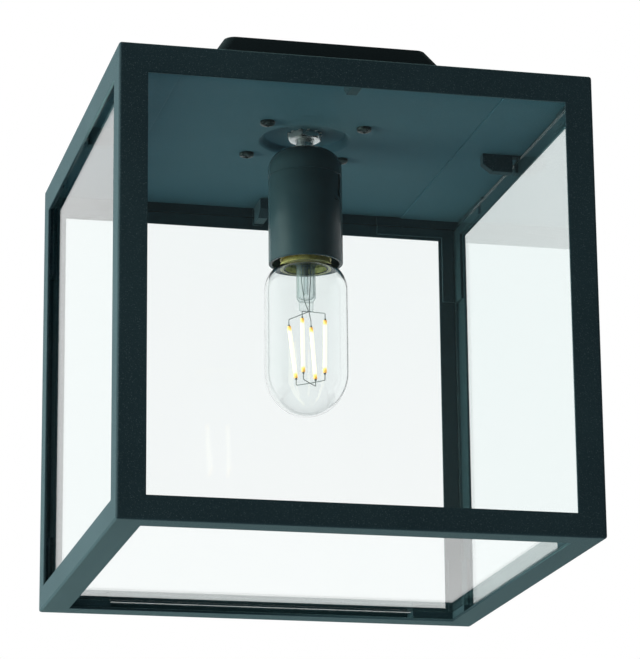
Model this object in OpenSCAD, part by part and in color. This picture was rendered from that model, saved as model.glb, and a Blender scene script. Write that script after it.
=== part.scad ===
// Square porch ceiling lantern: a glazed box of steel angle under a ceiling canopy, with one
// screw-in bulb. Millimetres. The origin is the centre of the face that meets the ceiling,
// +Z is up and the front is -Y.

/* [Box] */
// Width and depth of the box
box_w = 250; // [230:1:320]
// Height of the box
box_h = 246.2; // [235:0.1:320]
// Width of the angle's legs on the posts and under the box
angle_w = 15; // [14:0.5:17]
// Thickness of the angle
angle_t = 1.5; // [1.2:0.1:1.8]
// Height of the upright leg of the top rails
top_leg = 15.5; // [14:0.5:18]
// Height of the upright leg of the bottom rails
bottom_leg = 12.5; // [11:0.5:13]

/* [Glass] */
// Thickness of every pane
glass_t = 3; // [2.8:0.1:3.2]
// Distance of a side pane's outer face from the box's outer face
glass_inset = 3.5; // [3.4:0.1:3.8]
// Room over the side panes, in which they lift
pane_room = 5.8; // [5.6:0.1:7]

/* [Canopy and bracket] */
// Height of the canopy above the box
canopy_rise = 34.3; // [30:0.1:45]
// Width of the canopy at the ceiling
canopy_w = 111; // [108:1:120]
// How far a canopy wall moves out for each millimetre that it comes down
canopy_slope = 0.632; // [0.5:0.01:0.7]
// Width of the square bracket plate
bracket_w = 98; // [92:1:100]
// Distance between the two ceiling screw slots
slot_step = 70; // [66:1:72]
// Length of a ceiling screw slot
slot_len = 12; // [10:0.5:14]
// Distance between the pan screws along each side of their square
screw_step = 53.8; // [50:0.1:56]

/* [Lampholder] */
// Diameter of the lampholder
holder_d = 40.5; // [40:0.1:42]
// Height of the lampholder
holder_h = 66.9; // [66:0.1:70]

/* [Bulb] */
// Diameter of the bulb
bulb_d = 45.4; // [44:0.1:48]
// Length of the bulb's glass under its cap
bulb_glass_h = 84; // [78:1:100]
// Thread pitch of the bulb cap
thread_pitch = 3.629; // [3.6:0.001:3.65]

/* [Hidden] */
$fn = 64;

// The corners, as signs of X and Y
corners = [[-1, -1], [1, -1], [-1, 1], [1, 1]];

// Heights, from the ceiling down
box_top = -canopy_rise;
box_bottom = box_top - box_h;
plate_t = 2;
pan_t = 0.9;
strip_t = 1;
pan_top = box_top - angle_t;
pan_under = pan_top - pan_t;
strip_under = pan_under - strip_t;
recess_depth = 4;
recess_roof = pan_under + recess_depth;
washer_t = 0.8;
nut_t = 3.2;
holder_gap = 5.7;
holder_top = recess_roof - washer_t - nut_t - holder_gap;
holder_rim = holder_top - holder_h;
cap_z = holder_rim + 0.3;

// Half widths, from the axis out
half = box_w / 2;
leg_inner = half - angle_t;
leg_edge = half - angle_w;
glass_outer = half - glass_inset;
glass_inner = glass_outer - glass_t;
strip_edge = 87;

// Panes
rest_h = 4;
bottom_pane_z = box_bottom + angle_t + rest_h;
side_pane_z = bottom_pane_z + glass_t + 0.1;
side_pane_top = strip_under - pane_room;
lift_room = 0.8;
fit_gap = 0.2;

// Corner blocks
block_gap = 0.1;
block_flange = 12;
top_arm = 53;
top_arm_drop = 10.6;
top_post_arm = 50;
bottom_arm = 38;
bottom_post_arm = 40;

// Ceiling bracket and pan screws
slot_r = 2.4;
cable_hole_r = 9;
cable_hole_y = 28;
pillar_r = 4;
pillar_spigot_r = 2.5;
screw_r = 1.95;
screw_head_r = 4;
screw_head_h = 2.6;
recess_r = 23.5;

// Lampholder
nipple_r = 5;
nipple_bore_r = 3.5;
holder_r = holder_d / 2;
dome_h = 12.1;
dome_flat_r = 9.5;
skirt_wall = 1.5;
skirt_top = holder_top - 16.1;
latch_angle = -42;
latch_w = 6.2;
latch_h = 16;
insert_z = cap_z + 23;
sleeve_r = 13.4;
sleeve_wall = 0.5;
terminal_x = 9;

// Bulb
bulb_r = bulb_d / 2;
glass_wall = 0.8;
neck_r = 11.4;
shoulder_h = 11.7;
end_h = 25;
cap_r = 12.1;
cap_wall = 0.35;
cap_shell_h = 21.5;
cap_crest = 1;
filament_r = 1;
lead_r = 0.3;
stem_r = 5.2;
filament_top_z = cap_z - 31.2;
filament_end_z = cap_z - 62;
filament_tops = [[-8, 7.5], [-4.5, -9.5], [4.5, 8], [8.5, -8]];
filament_ends = [[-4.4, 6.4], [-3.5, -6.9], [6.4, 6.4], [8.3, -7.1]];
spider_hub = [1.6, 0.4, cap_z - 25.2];
star_hub = [1.7, -0.3, cap_z - 65.4];

// Terminal block and wires
block_size = [30, 17, 15];
block_y = -52;
way_step = 9;
way_z = pan_top + 8;
wire_r = 1.1;
earth_xy = [40, -38];
live_route = [
    [-9, 0, insert_z + 21], [-9, 0, insert_z + 24], [-7, 0, insert_z + 28], [-1.3, 0, insert_z + 33],
    [-1.3, 0, -24], [-3, -6, -19], [-7, -22, -19], [-9, -36, -25], [-9, -42, way_z], [-9, -46, way_z]
];
neutral_route = [
    [9, 0, insert_z + 21], [9, 0, insert_z + 24], [7, 0, insert_z + 28], [1.3, 0, insert_z + 33],
    [1.3, 0, -24], [1.3, -7, -18.5], [0, -22, -18], [0, -36, -24], [0, -42, way_z], [0, -46, way_z]
];
earth_route = [
    [9, -46, way_z], [9, -42, way_z], [11, -37, -25], [22, -34, -14], [31, -35.5, -5.5],
    [36.4, -37, -3.9]
];

function arc(cx, cz, a, b, from, to, n) =
    [for (i = [0:n]) let (t = from + (to - from) * i / n) [cx + a * cos(t), cz + b * sin(t)]];

// A box between two opposite corners
module block(low, high) {
    translate(low) cube(high - low);
}

// A round rod from one point to another
module rod(from, to, r) {
    d = to - from;
    translate(from) rotate([0, acos(d[2] / norm(d)), atan2(d[1], d[0])]) cylinder(h = norm(d), r = r);
}

// A closed tube along a list of points. side is a direction that no stretch of it runs along
module tube(points, r, side) {
    sides = 8;
    last = len(points) - 1;
    steps = [for (i = [0:last - 1]) (points[i + 1] - points[i]) / norm(points[i + 1] - points[i])];
    rings = [for (i = [0:last]) let (
        t = steps[max(i - 1, 0)] + steps[min(i, last - 1)],
        a = cross(t, side) / norm(cross(t, side)),
        b = cross(t, a) / norm(t))
        for (k = [0:sides - 1]) points[i] + r * (cos(360 * k / sides) * a + sin(360 * k / sides) * b)];
    walls = [for (i = [0:last - 1], k = [0:sides - 1])
        let (p = sides * i + k, q = sides * i + (k + 1) % sides)
        each [[p, p + sides, q + sides], [p, q + sides, q]]];
    polyhedron(rings, concat(walls, [[for (k = [0:sides - 1]) k]],
        [[for (k = [sides - 1:-1:0]) sides * last + k]]));
}

// A square plate with rounded corners, centred on the axis
module rounded_plate(w, r, z, h) {
    translate([0, 0, z]) {
        translate([-w / 2 + r, -w / 2, 0]) cube([w - 2 * r, w, h]);
        translate([-w / 2, -w / 2 + r, 0]) cube([w, w - 2 * r, h]);
        for (c = corners) translate([c[0] * (w / 2 - r), c[1] * (w / 2 - r), 0]) cylinder(h = h, r = r);
    }
}

// Section of the angle, with a round outer corner at the origin and legs along +X and +Y
module angle_section(leg_x, leg_y) {
    translate([angle_t, 0]) square([leg_x - angle_t, angle_t]);
    translate([0, angle_t]) square([angle_t, leg_y - angle_t]);
    intersection() {
        translate([angle_t, angle_t]) circle(r = angle_t);
        square(angle_t);
    }
}

module on_corner(sx, sy) {
    mirror([sx > 0 ? 1 : 0, 0, 0]) mirror([0, sy > 0 ? 1 : 0, 0]) children();
}

module post(sx, sy) {
    color("dimgray")
    on_corner(sx, sy) translate([-half, -half, box_bottom]) linear_extrude(box_h)
        angle_section(angle_w, angle_w);
}

// A rail along X at the front: upright leg outside, level leg at the top or bottom of the box
module rail_bar(upright, z, up) {
    translate([-leg_edge, -half, z]) rotate([90, 0, 90]) linear_extrude(2 * leg_edge)
        mirror([0, up ? 0 : 1]) angle_section(angle_w, upright);
}

// The front and back rails' level legs reach into the corners inside the posts
module long_rail(upright, z, up) {
    level_z = up ? z : z - angle_t;
    rail_bar(upright, z, up);
    for (s = [0, 1]) mirror([s, 0, 0])
        block([leg_edge - 0.01, -leg_inner, level_z], [leg_inner, -leg_edge, level_z + angle_t]);
}

module retainer_outline() {
    corner_r = 3;
    top = strip_under;
    difference() {
        polygon(concat([
            [leg_inner - 22.5, top], [leg_inner - 22.5, top - 6], [leg_inner - 16.9, top - 10.2]],
            arc(leg_inner - 0.1 - corner_r, top - 10.2 + corner_r, corner_r, corner_r, 270, 360, 8),
            [[leg_inner - 0.1, top]]));
        translate([glass_inner - 0.3, top - 20])
            square([glass_t + 0.6, 20 - lift_room]);
    }
}

// A helical ridge of trapezoid section from angle 0, with its foot in the wall at r_foot
module thread_ridge(r_foot, r_crest, foot_w, crest_w, z, turns) {
    steps = 20;
    n = floor(turns * steps);
    section = [[r_foot, -foot_w / 2], [r_crest, -crest_w / 2], [r_crest, crest_w / 2], [r_foot, foot_w / 2]];
    points = [for (i = [0:n], p = section) let (t = 360 * i / steps)
        [p[0] * cos(t), p[0] * sin(t), z + p[1] + thread_pitch * i / steps]];
    sides = [for (i = [0:n - 1], k = [0:3]) let (a = 4 * i + k, b = 4 * i + (k + 1) % 4)
        each [[a, b, b + 4], [a, b + 4, a + 4]]];
    ends = [[0, 3, 2], [0, 2, 1], [4 * n, 4 * n + 1, 4 * n + 2], [4 * n, 4 * n + 2, 4 * n + 3]];
    outward = r_crest > r_foot;
    polyhedron(points, [for (f = concat(sides, ends)) outward ? f : [f[0], f[2], f[1]]]);
}

module ceiling_bracket() {
    color("silver")
    difference() {
        rounded_plate(bracket_w, 6, -plate_t, plate_t);
        for (s = [-1, 1]) {
            block([s * slot_step / 2 - slot_len / 2 + slot_r, -slot_r, -plate_t - 1],
                [s * slot_step / 2 + slot_len / 2 - slot_r, slot_r, 1]);
            for (e = [-1, 1])
                translate([s * slot_step / 2 + e * (slot_len / 2 - slot_r), 0, -plate_t - 1])
                    cylinder(h = plate_t + 2, r = slot_r);
        }
        translate([0, cable_hole_y, -plate_t - 1]) cylinder(h = plate_t + 2, r = cable_hole_r);
        for (c = corners) translate([c[0] * screw_step / 2, c[1] * screw_step / 2, -plate_t - 1])
            cylinder(h = plate_t + 2, r = pillar_spigot_r + 0.05);
        translate([earth_xy[0], earth_xy[1], -plate_t - 1]) cylinder(h = plate_t + 2, r = screw_r + 0.05);
    }
}

module bracket_pillars() {
    color("silver")
    for (c = corners) translate([c[0] * screw_step / 2, c[1] * screw_step / 2, 0])
        difference() {
            union() {
                translate([0, 0, pan_top]) cylinder(h = -plate_t - pan_top, r = pillar_r);
                translate([0, 0, -plate_t]) cylinder(h = plate_t - 0.1, r = pillar_spigot_r);
            }
            translate([0, 0, pan_top - 1]) cylinder(h = 15, r = screw_r + 0.05);
        }
}

// A square pyramid cut flat at two heights, with round corners and its walls moved in by inset
module canopy_body(inset, low, high) {
    hull() for (z = [low, high], c = corners) {
        r = 6 + 2 * z / pan_top;
        x = canopy_w / 2 - canopy_slope * z - r;
        translate([c[0] * x, c[1] * x, z]) cylinder(h = 0.01, r = r - inset, $fn = 32);
    }
}

module canopy() {
    wall = 1.2;
    base_w = canopy_w - 2 * canopy_slope * pan_top;
    color("black")
    difference() {
        canopy_body(0, pan_top, -0.01);
        canopy_body(1.2 * wall, pan_top + wall, 0.5);
        rounded_plate(base_w - 26, 5, pan_top - 1, wall + 2);
    }
}

module ceiling_pan() {
    w = 2 * leg_inner - 0.2;
    color("dimgray")
    difference() {
        union() {
            block([-w / 2, -w / 2, pan_under], [w / 2, w / 2, pan_top]);
            translate([0, 0, pan_under])
                cylinder(h = recess_depth + pan_t, r1 = recess_r + 2, r2 = recess_r);
        }
        translate([0, 0, pan_under - 0.01])
            cylinder(h = recess_depth + 0.01, r1 = recess_r + 1, r2 = recess_r - 1);
        translate([0, 0, pan_under - 1]) cylinder(h = 10, r = nipple_r + 0.2);
        for (c = corners) translate([c[0] * screw_step / 2, c[1] * screw_step / 2, pan_under - 1])
            cylinder(h = 10, r = screw_r + 0.25);
    }
}

module pan_strip(s) {
    color("dimgray")
    block([s > 0 ? strip_edge : -leg_inner + 0.1, -leg_inner + 0.1, strip_under],
        [s > 0 ? leg_inner - 0.1 : -strip_edge, leg_inner - 0.1, pan_under]);
}

// Pan-head screw with a cross recess, head below z and shank above it
module cross_screw(z, shank) {
    head_ball = (screw_head_r * screw_head_r + screw_head_h * screw_head_h) / (2 * screw_head_h);
    difference() {
        union() {
            intersection() {
                translate([0, 0, z - screw_head_h + head_ball]) sphere(r = head_ball);
                translate([0, 0, z - screw_head_h]) cylinder(h = screw_head_h, r = screw_head_r);
            }
            translate([0, 0, z - 0.1]) cylinder(h = shank + 0.1, r = screw_r);
        }
        for (a = [0, 90]) rotate([0, 0, a + 20])
            block([-2.3, -0.5, z - screw_head_h - 1], [2.3, 0.5, z - screw_head_h + 1.5]);
    }
}

module pan_screws() {
    color("dimgray")
    for (c = corners) translate([c[0] * screw_step / 2, c[1] * screw_step / 2, 0])
        cross_screw(pan_under, 12);
}

module top_rail_x(s) {
    color("dimgray") mirror([0, s > 0 ? 1 : 0, 0]) long_rail(top_leg, box_top, false);
}

module bottom_rail_x(s) {
    color("dimgray") mirror([0, s > 0 ? 1 : 0, 0]) long_rail(bottom_leg, box_bottom, true);
}

module top_rail_y(s) {
    color("dimgray") rotate([0, 0, s > 0 ? 90 : -90]) rail_bar(top_leg, box_top, false);
}

module bottom_rail_y(s) {
    color("dimgray") rotate([0, 0, s > 0 ? 90 : -90]) rail_bar(bottom_leg, box_bottom, true);
}

// Two arms along the rails and one along the post, in the front left corner
module corner_block(arm, arm_in, arm_low, arm_high, post_low, post_high) {
    outer = -leg_inner + block_gap;
    inner = -glass_outer - 0.3;
    block([outer, outer, arm_low], [-half + arm, arm_in, arm_high]);
    block([outer, outer, arm_low], [arm_in, -half + arm, arm_high]);
    block([outer, outer, post_low], [-leg_inner + block_flange, inner, post_high]);
    block([outer, outer, post_low], [inner, -leg_inner + block_flange, post_high]);
}

module top_corner_blocks() {
    color("dimgray")
    for (c = corners) on_corner(c[0], c[1])
        corner_block(top_arm, -glass_outer - 0.3, strip_under - top_arm_drop, strip_under,
            strip_under - top_post_arm, strip_under);
}

module bottom_corner_blocks() {
    color("dimgray")
    for (c = corners) on_corner(c[0], c[1])
        corner_block(bottom_arm, -leg_edge - 0.5, box_bottom + angle_t, bottom_pane_z,
            box_bottom + angle_t, box_bottom + bottom_post_arm);
}

module pane_retainers() {
    thickness = 5.6;
    color("dimgray")
    for (a = [0:90:270]) rotate([0, 0, a]) translate([0, thickness / 2, 0])
        rotate([90, 0, 0]) linear_extrude(thickness) retainer_outline();
}

module pane_x(s) {
    x = glass_inner - fit_gap;
    color("lightcyan", 0.4)
    mirror([0, s > 0 ? 1 : 0, 0])
        block([-x, -glass_outer, side_pane_z], [x, -glass_inner, side_pane_top]);
}

module pane_y(s) {
    color("lightcyan", 0.4)
    mirror([s > 0 ? 1 : 0, 0, 0])
        block([-glass_outer, -glass_outer, side_pane_z], [-glass_inner, glass_outer, side_pane_top]);
}

module pane_bottom() {
    w = glass_outer - 0.1;
    color("lightcyan", 0.4) block([-w, -w, bottom_pane_z], [w, w, bottom_pane_z + glass_t]);
}

module threaded_nipple() {
    low = holder_top - 8.9;
    high = recess_roof + pan_t + 6;
    color("silver")
    difference() {
        translate([0, 0, low]) cylinder(h = high - low, r = nipple_r);
        translate([0, 0, low - 1]) cylinder(h = high - low + 2, r = nipple_bore_r);
    }
}

module hex_nut(z) {
    across_corners = 17 / cos(30);
    difference() {
        translate([0, 0, z]) rotate([0, 0, 8]) cylinder(h = nut_t, d = across_corners, $fn = 6);
        translate([0, 0, z - 1]) cylinder(h = nut_t + 2, r = nipple_r + 0.03);
    }
}

module nipple_top_nut() {
    color("silver") hex_nut(recess_roof + pan_t);
}

module lock_nut() {
    color("silver") hex_nut(recess_roof - washer_t - nut_t);
}

module toothed_washer() {
    color("silver")
    difference() {
        translate([0, 0, recess_roof - washer_t]) cylinder(h = washer_t, r = 9.8);
        translate([0, 0, recess_roof - washer_t - 1]) cylinder(h = washer_t + 2, r = nipple_r + 0.3);
        for (a = [0:30:330]) rotate([0, 0, a])
            block([8.1, -0.8, recess_roof - washer_t - 1], [11, 0.8, recess_roof + 1]);
    }
}

// Domed cap of the lampholder, with a hub for the nipple and a long spigot inside the skirt
module holder_cap() {
    wall = 1.8;
    dome_z = holder_top - dome_h;
    hub_r = 8.5;
    hub_z = holder_top - 9.6;
    spigot_r = holder_r - skirt_wall - 0.15;
    inner_a = holder_r - dome_flat_r - wall;
    hub_turn = acos((hub_r - dome_flat_r + wall) / (inner_a + wall));
    color("black")
    difference() {
        union() {
            rotate_extrude() polygon(concat(
                [[nipple_r + 0.05, holder_top]],
                arc(dome_flat_r, dome_z, holder_r - dome_flat_r, dome_h, 90, 0, 14),
                [[holder_r, skirt_top], [spigot_r, skirt_top], [spigot_r, insert_z + 4.1],
                    [spigot_r - wall, insert_z + 4.1]],
                arc(dome_flat_r - wall, dome_z, spigot_r - dome_flat_r, dome_h - wall, 0, hub_turn, 12),
                [[hub_r, hub_z], [nipple_r + 0.05, hub_z]]));
            rotate([0, 0, latch_angle])
                block([spigot_r - 0.5, -latch_w / 2 + 0.3, skirt_top - latch_h + 0.4],
                    [holder_r - 0.5, latch_w / 2 - 0.3, skirt_top]);
        }
        rotate([0, 0, 90]) translate([nipple_r, 0, holder_top - 4.6]) rotate([0, 90, 0])
            cylinder(h = hub_r, r = 1.5);
    }
}

module holder_skirt() {
    inner_r = holder_r - skirt_wall;
    color("black")
    difference() {
        rotate_extrude() polygon([
            [holder_r, holder_rim + 0.6], [holder_r - 0.6, holder_rim], [inner_r - 0.4, holder_rim],
            [inner_r - 0.4, holder_rim + 2], [inner_r, holder_rim + 3], [inner_r, insert_z - 2.5],
            [inner_r - 2.6, insert_z - 2], [inner_r - 2.6, insert_z - 0.1], [inner_r, insert_z - 0.1],
            [inner_r, skirt_top - 0.1], [holder_r, skirt_top - 0.1]]);
        rotate([0, 0, latch_angle])
            block([inner_r - 1, -latch_w / 2, skirt_top - latch_h], [holder_r + 1, latch_w / 2, skirt_top + 1]);
    }
}

module holder_insert() {
    color("ivory")
    difference() {
        union() {
            translate([0, 0, insert_z]) cylinder(h = 4, r = 17.5);
            translate([0, 0, insert_z]) cylinder(h = 16, r = 16);
        }
        translate([0, 0, insert_z - 1]) cylinder(h = 6, r = 13.2);
        translate([-9, 0, insert_z]) cylinder(h = 20, r = 1);
        translate([14.7, 0, insert_z - 1]) cylinder(h = 20, r = 1);
    }
}

// Brass shell that the bulb screws into, with its thread turned inward
module holder_sleeve() {
    low = cap_z + 3.6;
    color("goldenrod") {
        translate([0, 0, low]) difference() {
            union() {
                cylinder(h = insert_z - low, r = sleeve_r + sleeve_wall);
                translate([0, 0, insert_z - low - 0.6]) cylinder(h = 0.6, r = 15.8);
            }
            translate([0, 0, -1]) cylinder(h = 30, r = sleeve_r);
        }
        thread_ridge(sleeve_r + 0.2, sleeve_r - 1, 1.3, 0.5, low + 1.2 + thread_pitch / 2, 4);
    }
}

// Springy tongue, flat on the insert and sloping down to the bulb's tip
module centre_contact() {
    color("goldenrod")
    translate([0, 2.5, insert_z + 5]) rotate([90, 0, 0]) linear_extrude(5)
        polygon([[-11, 0], [-4, 0], [2.2, -1.4], [2.2, -1.8], [-4.1, -0.4], [-11, -0.4]]);
}

module contact_rivets() {
    color("goldenrod") {
        translate([-9, 0, insert_z + 5]) cylinder(h = 11, r = 0.95);
        translate([14.7, 0, insert_z]) cylinder(h = 16, r = 0.95);
    }
}

module holder_terminals() {
    base = insert_z + 16;
    color("goldenrod")
    for (s = [-1, 1]) difference() {
        block([s * 12 - 4, -3.5, base], [s * 12 + 4, 3.5, base + 6.5]);
        translate([s * terminal_x, 0, base + 2]) cylinder(h = 10, r = wire_r + 0.1);
        translate([s * terminal_x, 0, base + 3.5]) rotate([90, 0, 0]) cylinder(h = 10, r = 1.4);
    }
}

module slotted_screw(r, h) {
    difference() {
        cylinder(h = h, r = r);
        block([-r - 1, -0.3, h - 0.8], [r + 1, 0.3, h + 1]);
    }
}

module terminal_screws() {
    color("silver")
    for (s = [-1, 1]) translate([s * terminal_x, -1.3, insert_z + 19.5]) rotate([90, 0, 0])
        slotted_screw(1.35, 4.2);
}

module grub_screw() {
    color("dimgray")
    rotate([0, 0, 90]) translate([nipple_r + 0.1, 0, holder_top - 4.6]) rotate([0, 90, 0])
        slotted_screw(1.45, 4);
}

module terminal_block() {
    color("white")
    difference() {
        block([-block_size[0] / 2, block_y - block_size[1] / 2, pan_top],
            [block_size[0] / 2, block_y + block_size[1] / 2, pan_top + block_size[2]]);
        for (k = [-1:1]) {
            translate([k * way_step, block_y + block_size[1], way_z]) rotate([90, 0, 0])
                cylinder(h = 2 * block_size[1], r = 2.7);
            for (e = [-4.5, 4.5]) translate([k * way_step, block_y + e, way_z])
                cylinder(h = 20, r = 1.9);
        }
    }
}

module block_ways() {
    color("goldenrod")
    for (k = [-1:1]) difference() {
        translate([k * way_step, block_y + 7.5, way_z]) rotate([90, 0, 0]) cylinder(h = 15, r = 2.6);
        translate([k * way_step, block_y + 9, way_z]) rotate([90, 0, 0]) cylinder(h = 18, r = 1.6);
        for (e = [-4.5, 4.5]) translate([k * way_step, block_y + e, way_z])
            cylinder(h = 10, r = 1.45);
    }
}

module block_screws() {
    color("silver")
    for (k = [-1:1], e = [-4.5, 4.5]) translate([k * way_step, block_y + e, way_z + 1.3])
        slotted_screw(1.4, 4.6);
}

module live_wire() {
    color("saddlebrown") tube(live_route, wire_r, [1, 0, 0]);
}

module neutral_wire() {
    color("royalblue") tube(neutral_route, wire_r, [1, 0, 0]);
}

// Earth wire, its end crimped to the ring tag that a screw clamps to the bracket
module earth_wire() {
    color("limegreen") {
        tube(earth_route, wire_r, [0, 0, 1]);
        difference() {
            translate([earth_xy[0], earth_xy[1], -plate_t - 0.8]) cylinder(h = 0.8, r = 3.6);
            translate([earth_xy[0], earth_xy[1], -plate_t - 5]) cylinder(h = 8, r = screw_r + 0.15);
        }
    }
}

module earth_screw() {
    color("silver") translate([earth_xy[0], earth_xy[1], 0]) cross_screw(-plate_t - 0.8, 2.6);
}

module bulb_glass() {
    shoulder_z = cap_z - shoulder_h - 0.05;
    end_z = cap_z - bulb_glass_h + end_h;
    outer = concat([[neck_r, cap_z + 8]], arc(neck_r, shoulder_z, bulb_r - neck_r, shoulder_h, 90, 0, 12),
        arc(0, end_z, bulb_r, end_h, 0, -90, 16));
    inner = concat([[0, end_z - end_h + glass_wall]],
        arc(0, end_z, bulb_r - glass_wall, end_h - glass_wall, -84, 0, 14),
        arc(neck_r - glass_wall, shoulder_z, bulb_r - neck_r, shoulder_h - glass_wall, 0, 90, 12),
        [[neck_r - glass_wall, cap_z + 8]]);
    color("lightcyan", 0.4) rotate_extrude() polygon(concat(outer, inner));
}

module bulb_cap() {
    top = cap_z + cap_shell_h;
    color("goldenrod") {
        rotate_extrude() polygon([
            [cap_r + 0.9, cap_z], [cap_r + 0.9, cap_z + 2.8], [cap_r, cap_z + 3.4], [cap_r, top - 1.5],
            [cap_r - 1.2, top - 0.3], [cap_r - 2, top], [8.7, top], [8.7, top - cap_wall],
            [cap_r - 2.2, top - cap_wall], [cap_r - cap_wall, top - 1.9], [cap_r - cap_wall, cap_z]]);
        thread_ridge(cap_r - 0.2, cap_r + cap_crest, 2.1, 0.9, cap_z + 4.8, 4);
    }
}

module cap_insulator() {
    top = cap_z + cap_shell_h;
    color("black")
    translate([0, 0, top - 1.2]) {
        cylinder(h = 1.3, r = 8.55);
        translate([0, 0, 1.3]) cylinder(h = 2.9, r1 = 8.55, r2 = 5);
    }
}

module tip_contact() {
    color("goldenrod")
    translate([0, 0, cap_z + cap_shell_h + 3]) cylinder(h = 1.4, r1 = 4.8, r2 = 4);
}

// Hollow glass stem, flared to the neck and pinched flat at its lower end
module bulb_stem() {
    flare_z = cap_z + 6;
    end_z = cap_z - 17.5;
    wall = 0.7;
    color("lightcyan", 0.4) {
        rotate_extrude() polygon(concat(
            [[neck_r - glass_wall - 0.1, flare_z], [stem_r + 1.5, flare_z - 3.5], [stem_r, flare_z - 7],
                [stem_r, end_z]],
            arc(0, end_z, stem_r, 3, 0, -90, 8),
            arc(0, end_z, stem_r - wall, 3 - wall, -85, 0, 8),
            [[stem_r - wall, flare_z - 6.6], [stem_r + 1, flare_z - 2.8], [neck_r - glass_wall - 1, flare_z]]));
        block([-3.9, -1.5, end_z - 7.7], [3.9, 1.5, end_z - 2]);
    }
}

// A wire from a hub out to the point over or under a filament's end, and on to that end
module branch_wire(hub, p, z, z_end) {
    tube([hub, [p[0], p[1], z], [p[0], p[1], z_end]], lead_r, [hub[1] - p[1], p[0] - hub[0], 0]);
}

// Two lead wires down the stem and the four branches to the filaments' upper ends
module bulb_lead_wires() {
    color("gray") {
        for (s = [-1, 1])
            tube([[s * 2.5, 0, cap_z + 9], [s * 2.5, 0, cap_z - 8], spider_hub], lead_r, [0, 1, 0]);
        for (p = filament_tops) branch_wire(spider_hub, p, filament_top_z + 3, filament_top_z);
    }
}

module bulb_filaments() {
    color("khaki")
    for (i = [0:3]) rod([filament_tops[i][0], filament_tops[i][1], filament_top_z],
        [filament_ends[i][0], filament_ends[i][1], filament_end_z], filament_r);
}

module bulb_star_wires() {
    color("gray")
    for (p = filament_ends) branch_wire(star_hub, p, filament_end_z - 3.2, filament_end_z);
}

module bulb_driver() {
    low = cap_z + 9.5;
    color("seagreen") {
        block([-8, -0.5, low], [8, 0.5, low + 9]);
        translate([0, 0.4, low + 4.5]) rotate([-90, 0, 0]) cylinder(h = 6, r = 3);
    }
}

ceiling_bracket();
bracket_pillars();
canopy();
ceiling_pan();
pan_strip(-1);  // pan_strip_left
pan_strip(1);  // pan_strip_right
pan_screws();
post(-1, -1);  // post_front_left
post(1, -1);  // post_front_right
post(-1, 1);  // post_back_left
post(1, 1);  // post_back_right
top_rail_x(-1);  // top_rail_front
top_rail_x(1);  // top_rail_back
top_rail_y(-1);  // top_rail_left
top_rail_y(1);  // top_rail_right
bottom_rail_x(-1);  // bottom_rail_front
bottom_rail_x(1);  // bottom_rail_back
bottom_rail_y(-1);  // bottom_rail_left
bottom_rail_y(1);  // bottom_rail_right
top_corner_blocks();
bottom_corner_blocks();
pane_retainers();
pane_x(-1);  // pane_front
pane_x(1);  // pane_back
pane_y(-1);  // pane_left
pane_y(1);  // pane_right
pane_bottom();
threaded_nipple();
nipple_top_nut();
lock_nut();
toothed_washer();
holder_cap();
holder_skirt();
holder_insert();
holder_sleeve();
centre_contact();
contact_rivets();
holder_terminals();
terminal_screws();
grub_screw();
terminal_block();
block_ways();
block_screws();
live_wire();
neutral_wire();
earth_wire();
earth_screw();
bulb_glass();
bulb_cap();
cap_insulator();
tip_contact();
bulb_stem();
bulb_lead_wires();
bulb_filaments();
bulb_star_wires();
bulb_driver();
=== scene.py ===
import math
import bmesh
import bpy
from types import SimpleNamespace
from mathutils import Matrix, Vector


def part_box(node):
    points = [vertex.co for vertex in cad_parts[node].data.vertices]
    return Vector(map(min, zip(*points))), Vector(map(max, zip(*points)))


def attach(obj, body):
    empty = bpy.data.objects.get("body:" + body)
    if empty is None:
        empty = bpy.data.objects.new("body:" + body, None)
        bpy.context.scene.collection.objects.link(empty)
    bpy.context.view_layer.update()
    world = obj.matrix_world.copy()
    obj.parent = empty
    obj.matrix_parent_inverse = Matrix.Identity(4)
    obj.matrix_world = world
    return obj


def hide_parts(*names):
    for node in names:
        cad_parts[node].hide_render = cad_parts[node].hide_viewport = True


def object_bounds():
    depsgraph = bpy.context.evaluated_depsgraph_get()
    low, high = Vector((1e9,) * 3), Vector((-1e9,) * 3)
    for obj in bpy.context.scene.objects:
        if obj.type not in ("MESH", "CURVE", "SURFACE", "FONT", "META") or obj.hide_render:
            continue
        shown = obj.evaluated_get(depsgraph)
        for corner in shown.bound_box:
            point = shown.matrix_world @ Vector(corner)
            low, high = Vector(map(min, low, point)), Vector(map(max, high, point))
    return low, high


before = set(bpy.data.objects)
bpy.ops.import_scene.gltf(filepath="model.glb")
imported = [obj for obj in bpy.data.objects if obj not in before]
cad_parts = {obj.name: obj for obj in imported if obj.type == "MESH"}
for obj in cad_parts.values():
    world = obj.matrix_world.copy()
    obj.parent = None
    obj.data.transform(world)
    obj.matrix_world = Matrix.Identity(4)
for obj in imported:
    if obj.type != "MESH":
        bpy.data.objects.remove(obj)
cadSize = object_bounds()
mm = 0.001
print("frame loaded,", len(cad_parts), "nodes")


def feed(socket, value):
    # the value is a node, which stands for its first output, or an output, or a plain value
    if isinstance(value, bpy.types.Node):
        value = value.outputs[0]
    if isinstance(value, bpy.types.NodeSocket):
        socket.id_data.links.new(value, socket)
    elif socket.type == "RGBA":
        socket.default_value = (*value, 1)
    else:
        socket.default_value = value


def feedAll(node, inputs):
    for key, value in inputs.items():
        feed(node.inputs[key], value)
    return node


def addNode(tree, kind, inputs):
    return feedAll(tree.nodes.new(kind), inputs)


def mathNode(tree, operation, *values):
    node = tree.nodes.new("ShaderNodeMath")
    node.operation = operation
    return feedAll(node, dict(enumerate(values)))


def rangeOn(tree, value, fromLow, fromHigh, toLow, toHigh):
    return addNode(tree, "ShaderNodeMapRange", {"Value": value, "From Min": fromLow, "From Max": fromHigh,
                                                "To Min": toLow, "To Max": toHigh})


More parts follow.
